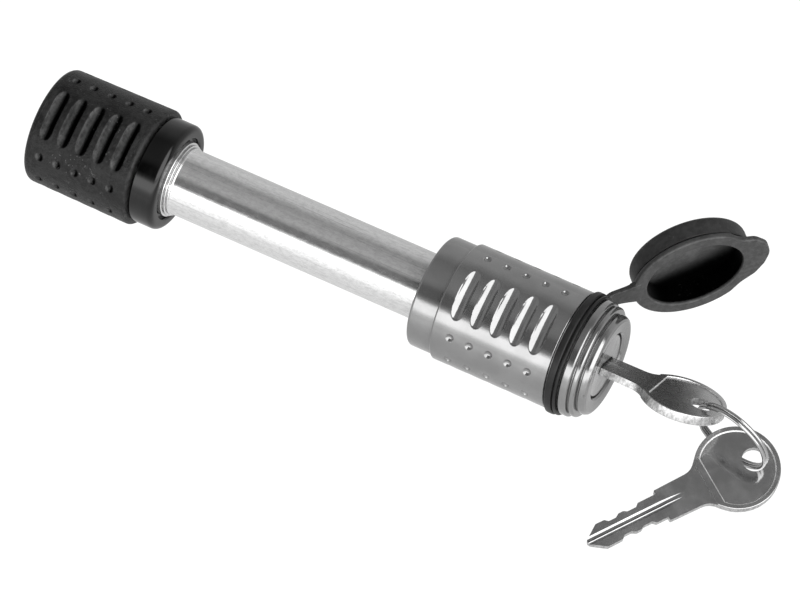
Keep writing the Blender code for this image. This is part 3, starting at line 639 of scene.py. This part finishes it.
def slots_and_dimples(middle_x, slots, outer):
    """A relief function for rows of slots, and of dimples beside them."""
    pitch, width, slot_depth = slots
    tool = (width ** 2 / 4 + slot_depth ** 2) / (2 * slot_depth)
    ball = (DIMPLE_RADIUS ** 2 + DIMPLE_DEPTH ** 2) / (2 * DIMPLE_DEPTH)
    places = [middle_x + (i - (SLOTS_IN_A_ROW - 1) / 2) * pitch for i in range(SLOTS_IN_A_ROW)]

    def relief(x, r, angle):
        depth = np.zeros((x.shape[0], angle.shape[1]))
        for at in places:
            beside = np.sqrt(np.maximum(tool ** 2 - (x - at) ** 2, 0))
            for row in SLOT_ROWS:
                along = np.abs(angle_from(angle, row) / SLOT_HALF_ANGLE)
                floor = slot_depth * (1 - along ** SLOT_FLATNESS)
                depth = np.maximum(depth, soft_positive(beside - tool + floor))
            for row in DIMPLE_ROWS:
                away = (x - at) ** 2 + (angle_from(angle, row) * outer) ** 2
                sphere = np.sqrt(np.maximum(ball ** 2 - away, 0)) - ball + DIMPLE_DEPTH
                depth = np.maximum(depth, soft_positive(sphere))
        on_surface = r > outer - PATTERN_MARGIN
        reach = (SLOTS_IN_A_ROW - 1) / 2 * pitch + width
        return np.where(on_surface & (np.abs(x - middle_x) < reach), depth, 0)

    return relief


# ---------------------------------------------------------------- pin and grip

def make_shank():
    """The pin: its ring groove by the tip, the stepped flange by the collar, and a hidden tang."""
    pin = turned("pin_shank", [
        (27.6 * MM, 0), (27.6 * MM, 6.44 * MM, 0.3 * MM), (26.6 * MM, PIN_RADIUS, 0.4 * MM),
        (26.3 * MM, PIN_RADIUS), (26.2 * MM, 5.9 * MM, 0.4 * MM), (21.8 * MM, 5.9 * MM, 0.4 * MM),
        (21.7 * MM, PIN_RADIUS), (-55.45 * MM, PIN_RADIUS, 0.15 * MM),
        (-55.5 * MM, 8.3 * MM, 0.12 * MM), (-55.95 * MM, 8.3 * MM, 0.12 * MM),
        (-56.0 * MM, 8.0 * MM), (-56.1 * MM, 8.0 * MM), (-56.15 * MM, 8.7 * MM, 0.12 * MM),
        (-56.6 * MM, 8.7 * MM, 0.12 * MM), (-56.65 * MM, 8.3 * MM), (-56.75 * MM, 8.3 * MM),
        (-56.8 * MM, FLANGE_RADIUS, 0.15 * MM), (-57.9 * MM, FLANGE_RADIUS),
        (-57.9 * MM, TANG_RADIUS), (-85 * MM, TANG_RADIUS), (-85 * MM, 0)],
        "plated_steel", closed=False)
    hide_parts("hitch_pin")
    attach(pin, "pin")


# Painted light and shade on the grip: how much lighter or darker it gets as it faces right or left,
# how much darker at the bottom of a slot, and the darkest and lightest shade
WALL_CONTRAST = 4.8
SUNK_SHADE = 0.7
GRIP_SHADES = (0.02, 4.0)
# How far along the grip, to each side of its middle, the light and shade are painted
SHADE_REACH = 11 * MM


def shade_grip(grip, middle, outer, depth):
    """Paints shade low in the slots and on the walls that face left, and paints light on the walls
    that face right, as if lit from the right."""
    mesh = grip.data
    places = np.empty(len(mesh.vertices) * 3)
    normals = np.empty(len(mesh.vertices) * 3)
    mesh.vertices.foreach_get("co", places)
    mesh.vertex_normals.foreach_get("vector", normals)
    x, y, z = places.reshape(-1, 3).T
    facing_right = normals.reshape(-1, 3)[:, 0]
    sunk = np.clip((outer - np.hypot(y, z)) / depth, 0, 1)
    # Painted light on walls facing right, painted shade on walls facing left and low in the slots
    shade = (1 + WALL_CONTRAST * facing_right) * (1 - SUNK_SHADE * sunk)
    shade = np.where(np.abs(x - middle) < SHADE_REACH, np.clip(shade, *GRIP_SHADES), 1.0)
    mesh.attributes.new("shade", "FLOAT", "POINT").data.foreach_set("value", shade)


def make_grip():
    """The rubber grip with its slots and dimples, and the collar at its inner end."""
    left, right = GRIP_END, GRIP_FRONT
    middle, outer = (left + right) / 2, sum(GRIP_RADIUS) / 2
    relief = slots_and_dimples(middle, GRIP_SLOTS, outer)
    grip = turned("grip_cover", [
        (right, GRIP_BORE), (right, GRIP_RADIUS[1], 0.9 * MM), (left, GRIP_RADIUS[0], 1.6 * MM),
        (left, 0), (left + 2.4 * MM, 0), (left + 2.4 * MM, GRIP_BORE)],
        "rubber", steps=420, longest=FINE_STEP, relief=relief, material="grip_rubber",
        fine_from=GRIP_RADIUS[0] - FINE_MARGIN)
    shade_grip(grip, middle, outer, GRIP_SLOTS[2])
    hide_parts("grip_sleeve")
    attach(grip, "pin")
    collar = turned("collar", [
        (COLLAR[1] - 0.5 * MM, COLLAR_BORE), (COLLAR[1], COLLAR_BORE + 0.3 * MM, 0.2 * MM),
        (COLLAR[1], COLLAR_RADIUS, 1.35 * MM), (COLLAR[0], COLLAR_RADIUS, 0.4 * MM),
        (COLLAR[0], TANG_RADIUS + 0.3 * MM), (-58.2 * MM, TANG_RADIUS + 0.3 * MM),
        (-58.2 * MM, COLLAR_BORE)], "gloss_black")
    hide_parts("grip_collar")
    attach(collar, "pin")


# ---------------------------------------------------------------- head

def make_shell():
    """The head's chromed shell, from its nose to the seat of the band."""
    lip = BAND[0] - 0.2 * MM
    relief = slots_and_dimples((NOSE_STEP + lip) / 2, HEAD_SLOTS, HEAD_RADIUS)
    shell = turned("lock_shell", [
        (BAND[1], CAVITY_RADIUS), (BAND[1], BAND_SEAT_RADIUS), (lip, BAND_SEAT_RADIUS),
        (lip, HEAD_RADIUS, 0.32 * MM), (NOSE_STEP, HEAD_RADIUS, 0.45 * MM),
        (NOSE_STEP - 0.1 * MM, NOSE_RADIUS, 0.2 * MM), (NOSE, NOSE_RADIUS, 0.8 * MM),
        (NOSE, 8.9 * MM, 0.3 * MM), (9.3 * MM, 8.55 * MM), (9.3 * MM, BUSHING_SEAT),
        (CAVITY_FLOOR, BUSHING_SEAT), (CAVITY_FLOOR, CAVITY_RADIUS)],
        "chrome", steps=480, longest=FINE_STEP, relief=relief,
        fine_from=HEAD_RADIUS - FINE_MARGIN)
    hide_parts("head_shell")
    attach(shell, "head")


def make_band():
    """The rubber band round the head, with a groove and a lip on its front."""
    lip = BAND[1] - 0.75 * MM
    band = turned("shell_band", [
        (BAND[1] - 0.1 * MM, BAND_SEAT_RADIUS + 0.3 * MM),
        (BAND[1] - 0.1 * MM, 14.4 * MM, 0.25 * MM), (lip, 14.4 * MM, 0.2 * MM),
        (lip - 0.05 * MM, 13.85 * MM), (lip - 0.3 * MM, 13.85 * MM),
        (lip - 0.35 * MM, BAND_RADIUS, 0.35 * MM), (BAND[0] + 0.2 * MM, BAND_RADIUS, 0.4 * MM),
        (BAND[0] + 0.2 * MM, BAND_SEAT_RADIUS + 0.3 * MM)], "rubber", material="band_rubber")
    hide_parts("cap_band")
    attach(band, "head")


def make_face():
    """The end of the lock cylinder: two rings and the front."""
    face = turned("cylinder_front", [
        (51.3 * MM, PLUG_BORE + 0.1 * MM), (52.0 * MM, PLUG_BORE + 0.1 * MM),
        (52.45 * MM, PLUG_BORE + 0.45 * MM, 0.12 * MM), (52.6 * MM, 9.6 * MM, 1.0 * MM),
        (FACE, 11.0 * MM, 0.3 * MM), (52.4 * MM, 11.65 * MM, 0.5 * MM),
        (51.7 * MM, 12.0 * MM, 0.5 * MM), (50.95 * MM, 12.0 * MM, 0.25 * MM),
        (50.75 * MM, 11.5 * MM, 0.1 * MM), (50.55 * MM, 11.5 * MM, 0.1 * MM),
        (50.45 * MM, 13.3 * MM, 0.55 * MM), (49.25 * MM, 13.3 * MM, 0.45 * MM),
        (49.15 * MM, 12.6 * MM, 0.1 * MM), (48.85 * MM, 12.6 * MM, 0.1 * MM),
        (48.8 * MM, 13.85 * MM, 0.5 * MM), (BAND[1] + 0.3 * MM, 13.85 * MM, 0.3 * MM),
        (BAND[1] + 0.3 * MM, 11.8 * MM), (HOUSING_BACK, 11.8 * MM), (HOUSING_BACK, PLUG_BORE),
        (50.0 * MM, PLUG_BORE), (50.2 * MM, PLUG_BORE - 0.12 * MM)],
        "chrome", steps=200, material="face_chrome")
    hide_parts("cylinder_housing")
    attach(face, "head")


def box_mesh(low, high):
    """A box between two corners."""
    shape = bmesh.new()
    bmesh.ops.create_cube(shape, size=1.0)
    size = Vector(high) - Vector(low)
    middle = (Vector(high) + Vector(low)) / 2
    matrix = Matrix.Translation(middle) @ Matrix.Diagonal((*size, 1))
    bmesh.ops.transform(shape, matrix=matrix, verts=shape.verts)
    mesh = bpy.data.meshes.new("box")
    shape.to_mesh(mesh)
    shape.free()
    return mesh


def make_plug():
    """The part that the key turns: keyway, wafer slots, spring pockets and a square tail."""
    plug = turned("key_plug", [
        (PLUG_FACE, 0), (PLUG_FACE, PLUG_RADIUS, 0.4 * MM), (33.3 * MM, PLUG_RADIUS),
        (33.3 * MM, 6.6 * MM), (32.4 * MM, 6.6 * MM), (32.4 * MM, PLUG_RADIUS),
        (31.8 * MM, PLUG_RADIUS), (31.8 * MM, 0)], "plug_metal", steps=128, closed=False)
    roll = Matrix.Rotation(KEY_ROLL, 4, "X")
    keyway = box_mesh((KEYWAY_BACK, -KEYWAY_HALF[0], -KEYWAY_HALF[1]),
                      (PLUG_FACE + 2 * MM, *KEYWAY_HALF))
    mouth = plate_mesh("mouth", [arc((0, MOUTH_REACH), MOUTH_RADIUS, 0, math.pi, 12)
                                 + arc((0, -MOUTH_REACH), MOUTH_RADIUS, math.pi, 2 * math.pi, 12)],
                       -MOUTH_DEPTH, 1 * MM)
    mouth.transform(Matrix(((0, 0, 1, PLUG_FACE), (0, 1, 0, 0), (-1, 0, 0, 0), (0, 0, 0, 1))))
    tail = box_mesh((PLUG_TAIL_END, -TAIL_HALF, -TAIL_HALF), (32.8 * MM, TAIL_HALF, TAIL_HALF))
    cutters = [keyway, mouth]
    for number in range(WAFERS):
        x = WAFER_FIRST + number * WAFER_PITCH
        side = 1 if number % 2 == 0 else -1
        cutters.append(box_mesh((x - WAFER_SLOT / 2, -WAFER_HALF[0], -WAFER_HALF[1]),
                                (x + WAFER_SLOT / 2, *WAFER_HALF)))
        low, high = sorted(side * end for end in SPRING_POCKET)
        cutters.append(box_mesh((x - WAFER_SLOT / 2, low, 1.5 * MM),
                                (x + WAFER_SLOT / 2, high, 5.0 * MM)))
    for other in (tail, *cutters):
        other.transform(roll)
    plug.data = cut(cut(plug.data, [tail], "UNION"), cutters)
    plug.data.materials.clear()
    plug.data.materials.append(MATERIALS["plug_metal"])
    plug.data.materials.append(MATERIALS["keyway"])
    # Faces deep in the keyway take the near-black finish, painted shade
    for face in plug.data.polygons:
        inside = math.hypot(face.center.y, face.center.z) < PLUG_RADIUS - 0.6 * MM
        sunk = KEYWAY_BACK < face.center.x < PLUG_FACE - 0.02 * MM
        face.material_index = 1 if inside and sunk else 0
    smooth(plug)
    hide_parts("lock_plug")
    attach(plug, "plug")


# ---------------------------------------------------------------- keys and ring

def key_edge():
    """The edge of the key in its own plane: x from the tip towards the bow, y across."""
    cuts = [(5.6, 2.9, 0.3), (6.4, 2.2, 0.3), (8.2, 2.2, 0.3), (9.2, 2.8, 0.3), (10.4, 2.8, 0.3),
            (11.2, 2.3, 0.3), (13.4, 2.3, 0.3), (14.2, 3.0, 0.3)]
    near = [(-0.2, 0.0), (0.0, 0.6, 0.3), (3.4, 2.95, 0.5), *cuts,
            (BLADE_LENGTH / MM, BLADE_HALF / MM, 0.1), (BLADE_LENGTH / MM, NECK_HALF / MM, 0.25)]
    neck_angle = math.asin(4.2 * MM / BOW_RADIUS)
    root = BOW_CENTRE / MM - BOW_RADIUS / MM * math.cos(neck_angle)
    near += [(root - 0.9, 4.1, 4.0), (root + 1.6, FLARE_HALF / MM)]
    far = [(p[0] + (1.6 if 5 < p[0] < 15 else 0), *p[1:]) for p in near]
    upper = [p * MM for p in rounded(near, 3)]
    lower = [Vector((p.x, -p.y)) * MM for p in rounded(far, 3)]
    start = math.atan2(FLARE_HALF, root * MM + 1.6 * MM - BOW_CENTRE)
    bow = arc((BOW_CENTRE, 0), BOW_RADIUS, start, -start, 56)
    return upper[:-1] + bow + lower[-2:0:-1]


def key_mesh(name):
    """A stamped key: both sides have two grooves in the blade and a sunk panel in the bow."""
    hole = arc((KEY_HOLE, 0), KEY_HOLE_RADIUS, 0, 2 * math.pi * 31 / 32, 32)
    half = BOW_THICKNESS / 2
    body = plate_mesh(name, [key_edge(), hole], -half, half, edge=0.16 * MM)
    thin = KEY_THICKNESS / 2
    panel_edge = arc((BOW_CENTRE, 0), BOW_RADIUS - 0.95 * MM, -PANEL_ARC, PANEL_ARC, 48)
    neck_edge = [(-3 * MM, -7 * MM), (PANEL_START - 0.5 * MM, -7 * MM),
                 (PANEL_START - 0.5 * MM, 7 * MM), (-3 * MM, 7 * MM)]
    cutters = []
    for side in (-1, 1):
        levels = sorted((side * thin, side * (half + 1 * MM)))
        cutters.append(plate_mesh("panel", [panel_edge], *levels, edge=0.28 * MM))
        cutters.append(plate_mesh("neck", [neck_edge], *levels, edge=0.06 * MM))
        for across, groove_radius, depth in ((0.42 * MM, 0.8 * MM, 0.34 * MM),
                                             (-0.5 * MM, 0.55 * MM, 0.2 * MM)):
            path = []
            for i in range(25):
                x = -2 * MM + 27 * MM * i / 24
                lift = depth * max(0.0, (x - 18 * MM) / (6.5 * MM)) ** 1.5
                path.append((x, across, side * (thin + groove_radius - depth + lift)))
            cutters.append(wire_mesh("groove", path, groove_radius))
    return cut(body, cutters)


def paint_key(obj, finish):
    """The sheared edges get their own finish, and the sloped edges of the sunk panels get a light
    one that paints a highlight on them.
    """
    obj.data.materials.clear()
    for name in (finish, "key_edge", "highlit_edge"):
        obj.data.materials.append(MATERIALS[name])
    for face in obj.data.polygons:
        from_middle = math.hypot(face.center.x - BOW_CENTRE, face.center.y)
        near_panel = KEY_HOLE_RADIUS + 2.2 * MM < from_middle < BOW_RADIUS - 0.5 * MM
        slope = abs(face.normal.z)
        # Painted highlight along the sloped edges of the sunk panels
        if near_panel and face.center.x > PANEL_START and 0.1 < slope < 0.985:
            face.material_index = 2
        elif slope < 0.45:
            face.material_index = 1


def place_key(name, mesh, matrix, node, body, finish):
    key = new_object(name, mesh, "nickel")
    paint_key(key, finish)
    smooth(key, 30)
    flatten(key, Vector((0, 0, 1)))
    mesh.transform(matrix)
    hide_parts(node)
    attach(key, body)


def make_keys():
    mesh = key_mesh("key_mesh")
    spare_mesh = mesh.copy()
    inserted = (Matrix.Translation((PLUG_FACE + 0.05 * MM - BLADE_LENGTH, 0, 0))
                @ Matrix.Rotation(KEY_ROLL, 4, "X"))
    place_key("key_in_lock", mesh, inserted, "key_inserted", "key", "lighter_nickel")
    spare = (Matrix.Translation(SPARE_HOLE) @ Matrix.Rotation(SPARE_YAW, 4, "Z")
             @ Matrix.Rotation(-SPARE_PITCH, 4, "Y") @ Matrix.Rotation(SPARE_ROLL, 4, "X")
             @ Matrix.Translation((-KEY_HOLE, 0, 0)))
    place_key("spare_key", spare_mesh, spare, "key_spare", "spare_key", "nickel")


def make_ring():
    """Two turns of wire side by side, with the step from one to the other."""
    offset = RING_WIRE / 2
    points = []
    count = 144
    for i in range(count + 1):
        turned_by = (4 * math.pi - 0.12) * i / count
        share = min(1, max(0, (turned_by - 2 * math.pi + RING_STEP / 2) / RING_STEP))
        height = offset * (2 * share * share * (3 - 2 * share) - 1)
        angle = RING_START + turned_by
        points.append((RING_RADIUS * math.cos(angle), RING_RADIUS * math.sin(angle), height))
    mesh = wire_mesh("ring", points, offset * 0.97, resolution=4)
    turn = RING_NORMAL.to_track_quat("Z", "Y").to_matrix().to_4x4()
    mesh.transform(Matrix.Translation(RING_CENTRE) @ turn)
    ring = smooth(new_object("key_ring", mesh, "ring_steel"), 60)
    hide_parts("split_ring")
    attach(ring, "ring")


# ---------------------------------------------------------------- dust cap

def cap_matrices():
    """The tilted frame of the tether, and the cap's frame: its origin is the middle of the mouth,
    +Z the way it opens, and +X the way to the tab."""
    side = Matrix.Rotation(CAP_TILT, 4, "X")
    turn = Matrix.Rotation(CAP_AZIMUTH + math.pi / 2, 4, "Z")
    facing = (side @ Matrix.Translation(CAP_HINGE) @ turn
              @ Matrix(((1, 0, 0, 0), (0, 0, -1, 0), (0, 1, 0, 0), (0, 0, 0, 1))))
    return side, facing @ Matrix.Translation((CAP_REACH, 0, -CAP_SETBACK))


def cap_outline():
    """The edge of the flat rim: round, with the pull tab on one side and the strap on the other."""
    tab = [(11.0, 8.9, 6.0), (14.6, 7.6, 3.5), (17.2, 4.3, 3.5), (17.9, 0.0, 6.0),
           (16.6, -3.8, 3.0), (14.4, -7.0, 3.0), (11.0, -9.2, 6.0)]
    start = math.atan2(tab[0][1], tab[0][0]) + 0.25
    end = math.atan2(tab[-1][1], tab[-1][0]) - 0.25
    radius = CAP_RIM_RADIUS / MM
    first = (radius * math.cos(start), radius * math.sin(start))
    last = (radius * math.cos(end), radius * math.sin(end))
    edge = [p * MM for p in rounded([last, *reversed(tab), first])]
    strap = math.asin(STRAP_HALF / CAP_RIM_RADIUS)
    upper = arc((0, 0), CAP_RIM_RADIUS, start, math.pi - strap, 44)
    lower = arc((0, 0), CAP_RIM_RADIUS, math.pi + strap, 2 * math.pi + end, 44)
    stub = [Vector((-15.2 * MM, 3.1 * MM)), Vector((-15.7 * MM, 2.3 * MM)),
            Vector((-15.7 * MM, -2.3 * MM)), Vector((-15.2 * MM, -3.1 * MM))]
    return edge[:-1] + upper + stub + lower[:-1]


def strap_mesh():
    """The strap from the band, through its bend, into the rim. Points are in the tilted frame."""
    middle = [(45.0, 14.2), (45.3, 15.6), (46.2, 16.8), (47.3, 17.9), (48.4, 19.0), (49.4, 20.0),
              (50.2, 20.8)]
    widths = [5.0, 5.0, 5.1, 5.4, 6.0, 6.9, 7.1]
    thick = [1.2, 1.2, 1.2, 1.25, 1.35, 1.4, 1.4]
    rows = 40
    points, faces = [], []
    knots = np.arange(len(middle))
    at = np.linspace(0, len(middle) - 1, rows)

    def eased(values):
        values = np.array(values, float)
        fitted = np.polyfit(knots, values, 4)
        return np.polyval(fitted, at)

    xs, ys = eased([p[0] for p in middle]), eased([p[1] for p in middle])
    half_width, half_thick = eased(widths) / 2, eased(thick) / 2
    section = rounded([(0, 1.0), (1.0, 1.0, 0.45), (1.0, -1.0, 0.45), (-1.0, -1.0, 0.45),
                       (-1.0, 1.0, 0.45), (0, 1.0)], 4)[:-1]
    for i in range(rows):
        ahead = Vector((xs[min(i + 1, rows - 1)] - xs[max(i - 1, 0)],
                        ys[min(i + 1, rows - 1)] - ys[max(i - 1, 0)])).normalized()
        across = Vector((-ahead.y, ahead.x))
        for u, v in section:
            flat = Vector((xs[i], ys[i])) + across * half_thick[i] * u
            height = half_width[i] * v if abs(v) < 0.56 else (
                math.copysign(half_width[i] - (1 - abs(v)) * half_thick[i], v))
            points.append((flat.x * MM, flat.y * MM, height * MM))
    count = len(section)
    for i in range(rows - 1):
        for j in range(count):
            k = (j + 1) % count
            faces.append((i * count + j, i * count + k, (i + 1) * count + k, (i + 1) * count + j))
    faces.append(tuple(range(count)))
    faces.append(tuple(range((rows - 1) * count, rows * count)))
    mesh = bpy.data.meshes.new("strap")
    mesh.from_pydata(points, [], faces)
    tidy_mesh(mesh)
    return mesh


# How light the cap is in each place. EDGE_HIGHLIGHT is a painted highlight on the rim's rounded
# edge. DEEPEST_SHADOW is the darkest inside the cup, where the painted shadow is deepest, and
# WALL_SHADE and CUP_SHADE are what a lit place on its wall and on its floor adds to that.
OUTSIDE_SHADE = 0.85
EDGE_HIGHLIGHT = 1.9
RIM_SHADE = 1.3
DEEPEST_SHADOW = 0.03
WALL_SHADE = 0.7
CUP_SHADE = 1.9


def cap_shade(at, height, on_edge):
    """How light the rubber is there: a highlight is painted on the rim's rounded edges, and a
    shadow is painted in the cup, deepest low down and towards the tab.
    at is in the cap's frame, and height goes from -1 to 1 over the mouth."""
    radius = math.hypot(at.x, at.y)
    if radius > CAP_MOUTH_RADIUS + 0.3 * MM or at.z > -0.6 * MM:
        if at.z < -CAP_RIM_THICKNESS - 0.2 * MM:
            return OUTSIDE_SHADE
        return EDGE_HIGHLIGHT if on_edge else RIM_SHADE
    # Painted shadow in the cup: light high up and away from the tab, dark low down and towards it
    lit = min(1, max(0, (height - 0.35 * at.x / CAP_MOUTH_RADIUS + 0.65) / 0.85))
    lit = lit * lit * (3 - 2 * lit)
    on_wall = radius > CAP_MOUTH_RADIUS - 0.5 * MM
    return DEEPEST_SHADOW + lit * (WALL_SHADE if on_wall else CUP_SHADE)


def paint_cap(cap, capped):
    """Gives each face corner of the cap its shade, painted light and shade. capped is the cap's
    frame.
    """
    back = capped.inverted()
    turn = back.to_3x3()
    middle = capped.translation
    shade = cap.data.attributes.new("shade", "FLOAT", "CORNER")
    for face in cap.data.polygons:
        slope = abs((turn @ face.normal).z)
        for corner in face.loop_indices:
            place = cap.data.vertices[cap.data.loops[corner].vertex_index].co
            height = (place.z - middle.z) / CAP_MOUTH_RADIUS
            shade.data[corner].value = cap_shade(back @ place, height, 0.2 < slope < 0.97)


def make_cap():
    """The dust cap, its flat rim with the pull tab, and the strap that bends at its hinge."""
    side, capped = cap_matrices()
    mouth = arc((0, 0), CAP_MOUTH_RADIUS, 0, 2 * math.pi * 95 / 96, 96)
    rim = plate_mesh("rim", [cap_outline(), mouth], -CAP_RIM_THICKNESS, 0, edge=0.55 * MM)
    cup = turned("cup", [
        (-1.2 * MM, CUP_BORE), (-1.2 * MM, CAP_WALL_RADIUS - 0.7 * MM),
        (-1.9 * MM, CAP_WALL_RADIUS - 0.7 * MM, 0.2 * MM), (-2.1 * MM, CAP_WALL_RADIUS, 0.3 * MM),
        (-CAP_DEPTH, CAP_WALL_RADIUS, 1.5 * MM), (-CAP_DEPTH, 0), (-CAP_DEPTH + 1.5 * MM, 0),
        (-CAP_DEPTH + 1.5 * MM, CUP_BORE, 3.4 * MM)],
        "rubber", steps=144, longest=1 * MM)
    cup_mesh = cup.data
    bpy.data.objects.remove(cup)
    cup_mesh.transform(Matrix(((0, 1, 0, 0), (0, 0, 1, 0), (1, 0, 0, 0), (0, 0, 0, 1))))
    for mesh in (rim, cup_mesh):
        mesh.transform(capped)
    strap = strap_mesh()
    strap.transform(side)
    cap = new_object("cap_and_strap", joined("cap_and_strap", [rim, cup_mesh, strap]), "rubber",
                     "cap_rubber")
    smooth(cap, 40)
    flatten(cap, capped.to_3x3() @ Vector((0, 0, 1)))
    paint_cap(cap, capped)
    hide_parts("dust_cap", "cap_tether")
    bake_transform(cap)


# ---------------------------------------------------------------- the CAD nodes that stay

def dress_cad_nodes():
    """Gives every CAD node the finish of its material slot."""
    slots = {row["node"]: row["material_slot"] for row in frame["record"]["subparts"]}
    for name, obj in NODES.items():
        obj.data.materials.clear()
        obj.data.materials.append(MATERIALS[slots[name]])


# ---------------------------------------------------------------- studio

# Brightness seen by a shiny surface, by the angle round the pin's axis: 0 is level behind it (+Y),
# 90 straight up and 180 level in front (-Y).
STUDIO_BANDS = [(-90, 0.4), (-50, 0.42), (-36, 0.5), (-25, 0.68), (0, 0.66), (20, 0.57),
                (35, 0.52), (46, 0.35), (58, 0.20), (75, 0.26), (105, 0.32), (113, 0.22),
                (120, 0.04), (138, 0.03), (146, 0.5), (153, 3.2), (168, 3.2), (176, 1.6),
                (190, 1.2), (270, 0.6)]
# The box on the right: its brightness, and the angles between which its two long edges fade
RIGHT_BOX = 3.6
BOX_EDGES = ((60, 78), (152, 138))
LEFT_CARD = 0.42
# How much of the studio lights a dull surface, from the left (-X) and from the right
DIFFUSE_SHARE = (0.10, 1.15)
FLOOR_GLOW = 1.02
# What a shiny surface sees of the floor: how bright in front and behind, and where that changes
FLOOR_IN_FRONT = (0.72, 1.2)
FLOOR_BEHIND = 0.75
FRONT_REACH = 96 * MM
BACK_REACH = (2 * MM, 10 * MM)
# Deep enough that nothing swings through the floor at a joint's limit
FLOOR_DROP = 60 * MM


def make_world():
    """Light from all round: bands round the pin's axis, a bright box on the right and a card on the
    left. Dull surfaces see it dimmed from the left, and the camera sees plain white."""
    world = bpy.data.worlds.new("studio")
    world.use_nodes = True
    bpy.context.scene.world = world
    g = Graph(world.node_tree)
    x, y, z = g.split(g.node("ShaderNodeTexCoord").outputs["Generated"])
    angle = g.math("ARCTAN2", z, y)
    first = STUDIO_BANDS[0][0]
    past_first = g.math("ADD", angle, math.radians(360 - first))
    past_first = g.math("MODULO", past_first, 2 * math.pi)
    bands = g.node("ShaderNodeValToRGB")
    g.link(g.math("DIVIDE", past_first, 2 * math.pi), bands.inputs[0])
    strongest = max(level for _, level in STUDIO_BANDS)
    while len(bands.color_ramp.elements) < len(STUDIO_BANDS):
        bands.color_ramp.elements.new(0.5)
    for element, (degrees, level) in zip(bands.color_ramp.elements, STUDIO_BANDS):
        grey = level / strongest
        element.position = (degrees - first) / 360
        element.color = (grey, grey, grey, 1.0)
    scaled = g.scale(bands.outputs[0], strongest)
    low, high = ([math.radians(degrees) for degrees in ends] for ends in BOX_EDGES)
    height = g.math("MULTIPLY", g.ramp(angle, *low), g.ramp(angle, *high))
    right = g.math("MULTIPLY", g.ramp(x, 0.14, 0.26), height)
    left = g.ramp(g.math("MULTIPLY", x, -1), 0.55, 0.75)
    studio = g.mix(right, g.mix(left, scaled, LEFT_CARD), RIGHT_BOX)
    side_light = g.ramp(x, -0.9, 0.9)
    side_light = g.math("MULTIPLY", side_light, DIFFUSE_SHARE[1] - DIFFUSE_SHARE[0])
    dimmed = g.scale(studio, g.math("ADD", side_light, DIFFUSE_SHARE[0]))
    path = g.node("ShaderNodeLightPath")
    soft = g.mix(path.outputs["Is Diffuse Ray"], studio, dimmed)
    background = g.tree.nodes["Background"]
    g.link(g.mix(path.outputs["Is Camera Ray"], soft, 1.0), background.inputs["Color"])
    background.inputs["Strength"].default_value = 1.0


def make_floor():
    """A wide floor that glows plain white, except where it is mirrored."""
    mesh = bpy.data.meshes.new("floor")
    shape = bmesh.new()
    bmesh.ops.create_grid(shape, x_segments=1, y_segments=1, size=6)
    shape.to_mesh(mesh)
    shape.free()
    floor = bpy.data.objects.new("floor", mesh)
    floor.location = (0, ORIGIN.y, -FLOOR_DROP)
    bpy.context.scene.collection.objects.link(floor)
    s = Shader("floor", 0.05, 1.0, specular=0.0)
    y = s.split(s.coords)[1]
    spread = (ORIGIN.z + FLOOR_DROP) / ORIGIN.z
    front = s.ramp(y, 0, -FRONT_REACH * spread, *FLOOR_IN_FRONT)
    back = s.ramp(y, BACK_REACH[0] * spread, BACK_REACH[1] * spread, 1.0, FLOOR_BEHIND)
    path = s.node("ShaderNodeLightPath")
    mirrored = s.math("MULTIPLY", front, back)
    glow = s.node("ShaderNodeMix", data_type="FLOAT")
    glow.inputs[2].default_value = FLOOR_GLOW
    s.link(path.outputs["Is Glossy Ray"], glow.inputs[0])
    s.link(mirrored, glow.inputs[3])
    s.out.inputs["Emission Color"].default_value = (1, 1, 1, 1)
    s.link(glow.outputs[0], s.out.inputs["Emission Strength"])
    mesh.materials.append(s.material)


# Camera: its direction from ORIGIN, how far away it is, and how far under ORIGIN it aims
VIEW_AZIMUTH = math.radians(28.10)
VIEW_ELEVATION = math.radians(55.25)
VIEW_DISTANCE = 1300 * MM
VIEW_DROP = 5.43 * MM
LENS = 259.47


def make_camera():
    """The camera, looking from the direction given above at a point just under ORIGIN."""
    back = Vector((math.sin(VIEW_AZIMUTH) * math.cos(VIEW_ELEVATION),
                   -math.cos(VIEW_AZIMUTH) * math.cos(VIEW_ELEVATION), math.sin(VIEW_ELEVATION)))
    turn = (-back).to_track_quat("-Z", "Y")
    up = turn @ Vector((0, 1, 0))
    camera = bpy.data.objects.new("camera", bpy.data.cameras.new("camera"))
    camera.data.lens = LENS
    camera.data.sensor_width = 36
    camera.data.clip_start, camera.data.clip_end = 0.05, 20
    camera.rotation_mode = "QUATERNION"
    camera.rotation_quaternion = turn
    camera.location = ORIGIN - up * VIEW_DROP + back * VIEW_DISTANCE
    bpy.context.scene.collection.objects.link(camera)
    bpy.context.scene.camera = camera


dress_cad_nodes()
make_shank()
make_grip()
make_shell()
make_band()
make_face()
make_plug()
make_keys()
make_ring()
make_cap()
make_world()
make_floor()
make_camera()
bpy.context.scene.view_settings.view_transform = "Standard"
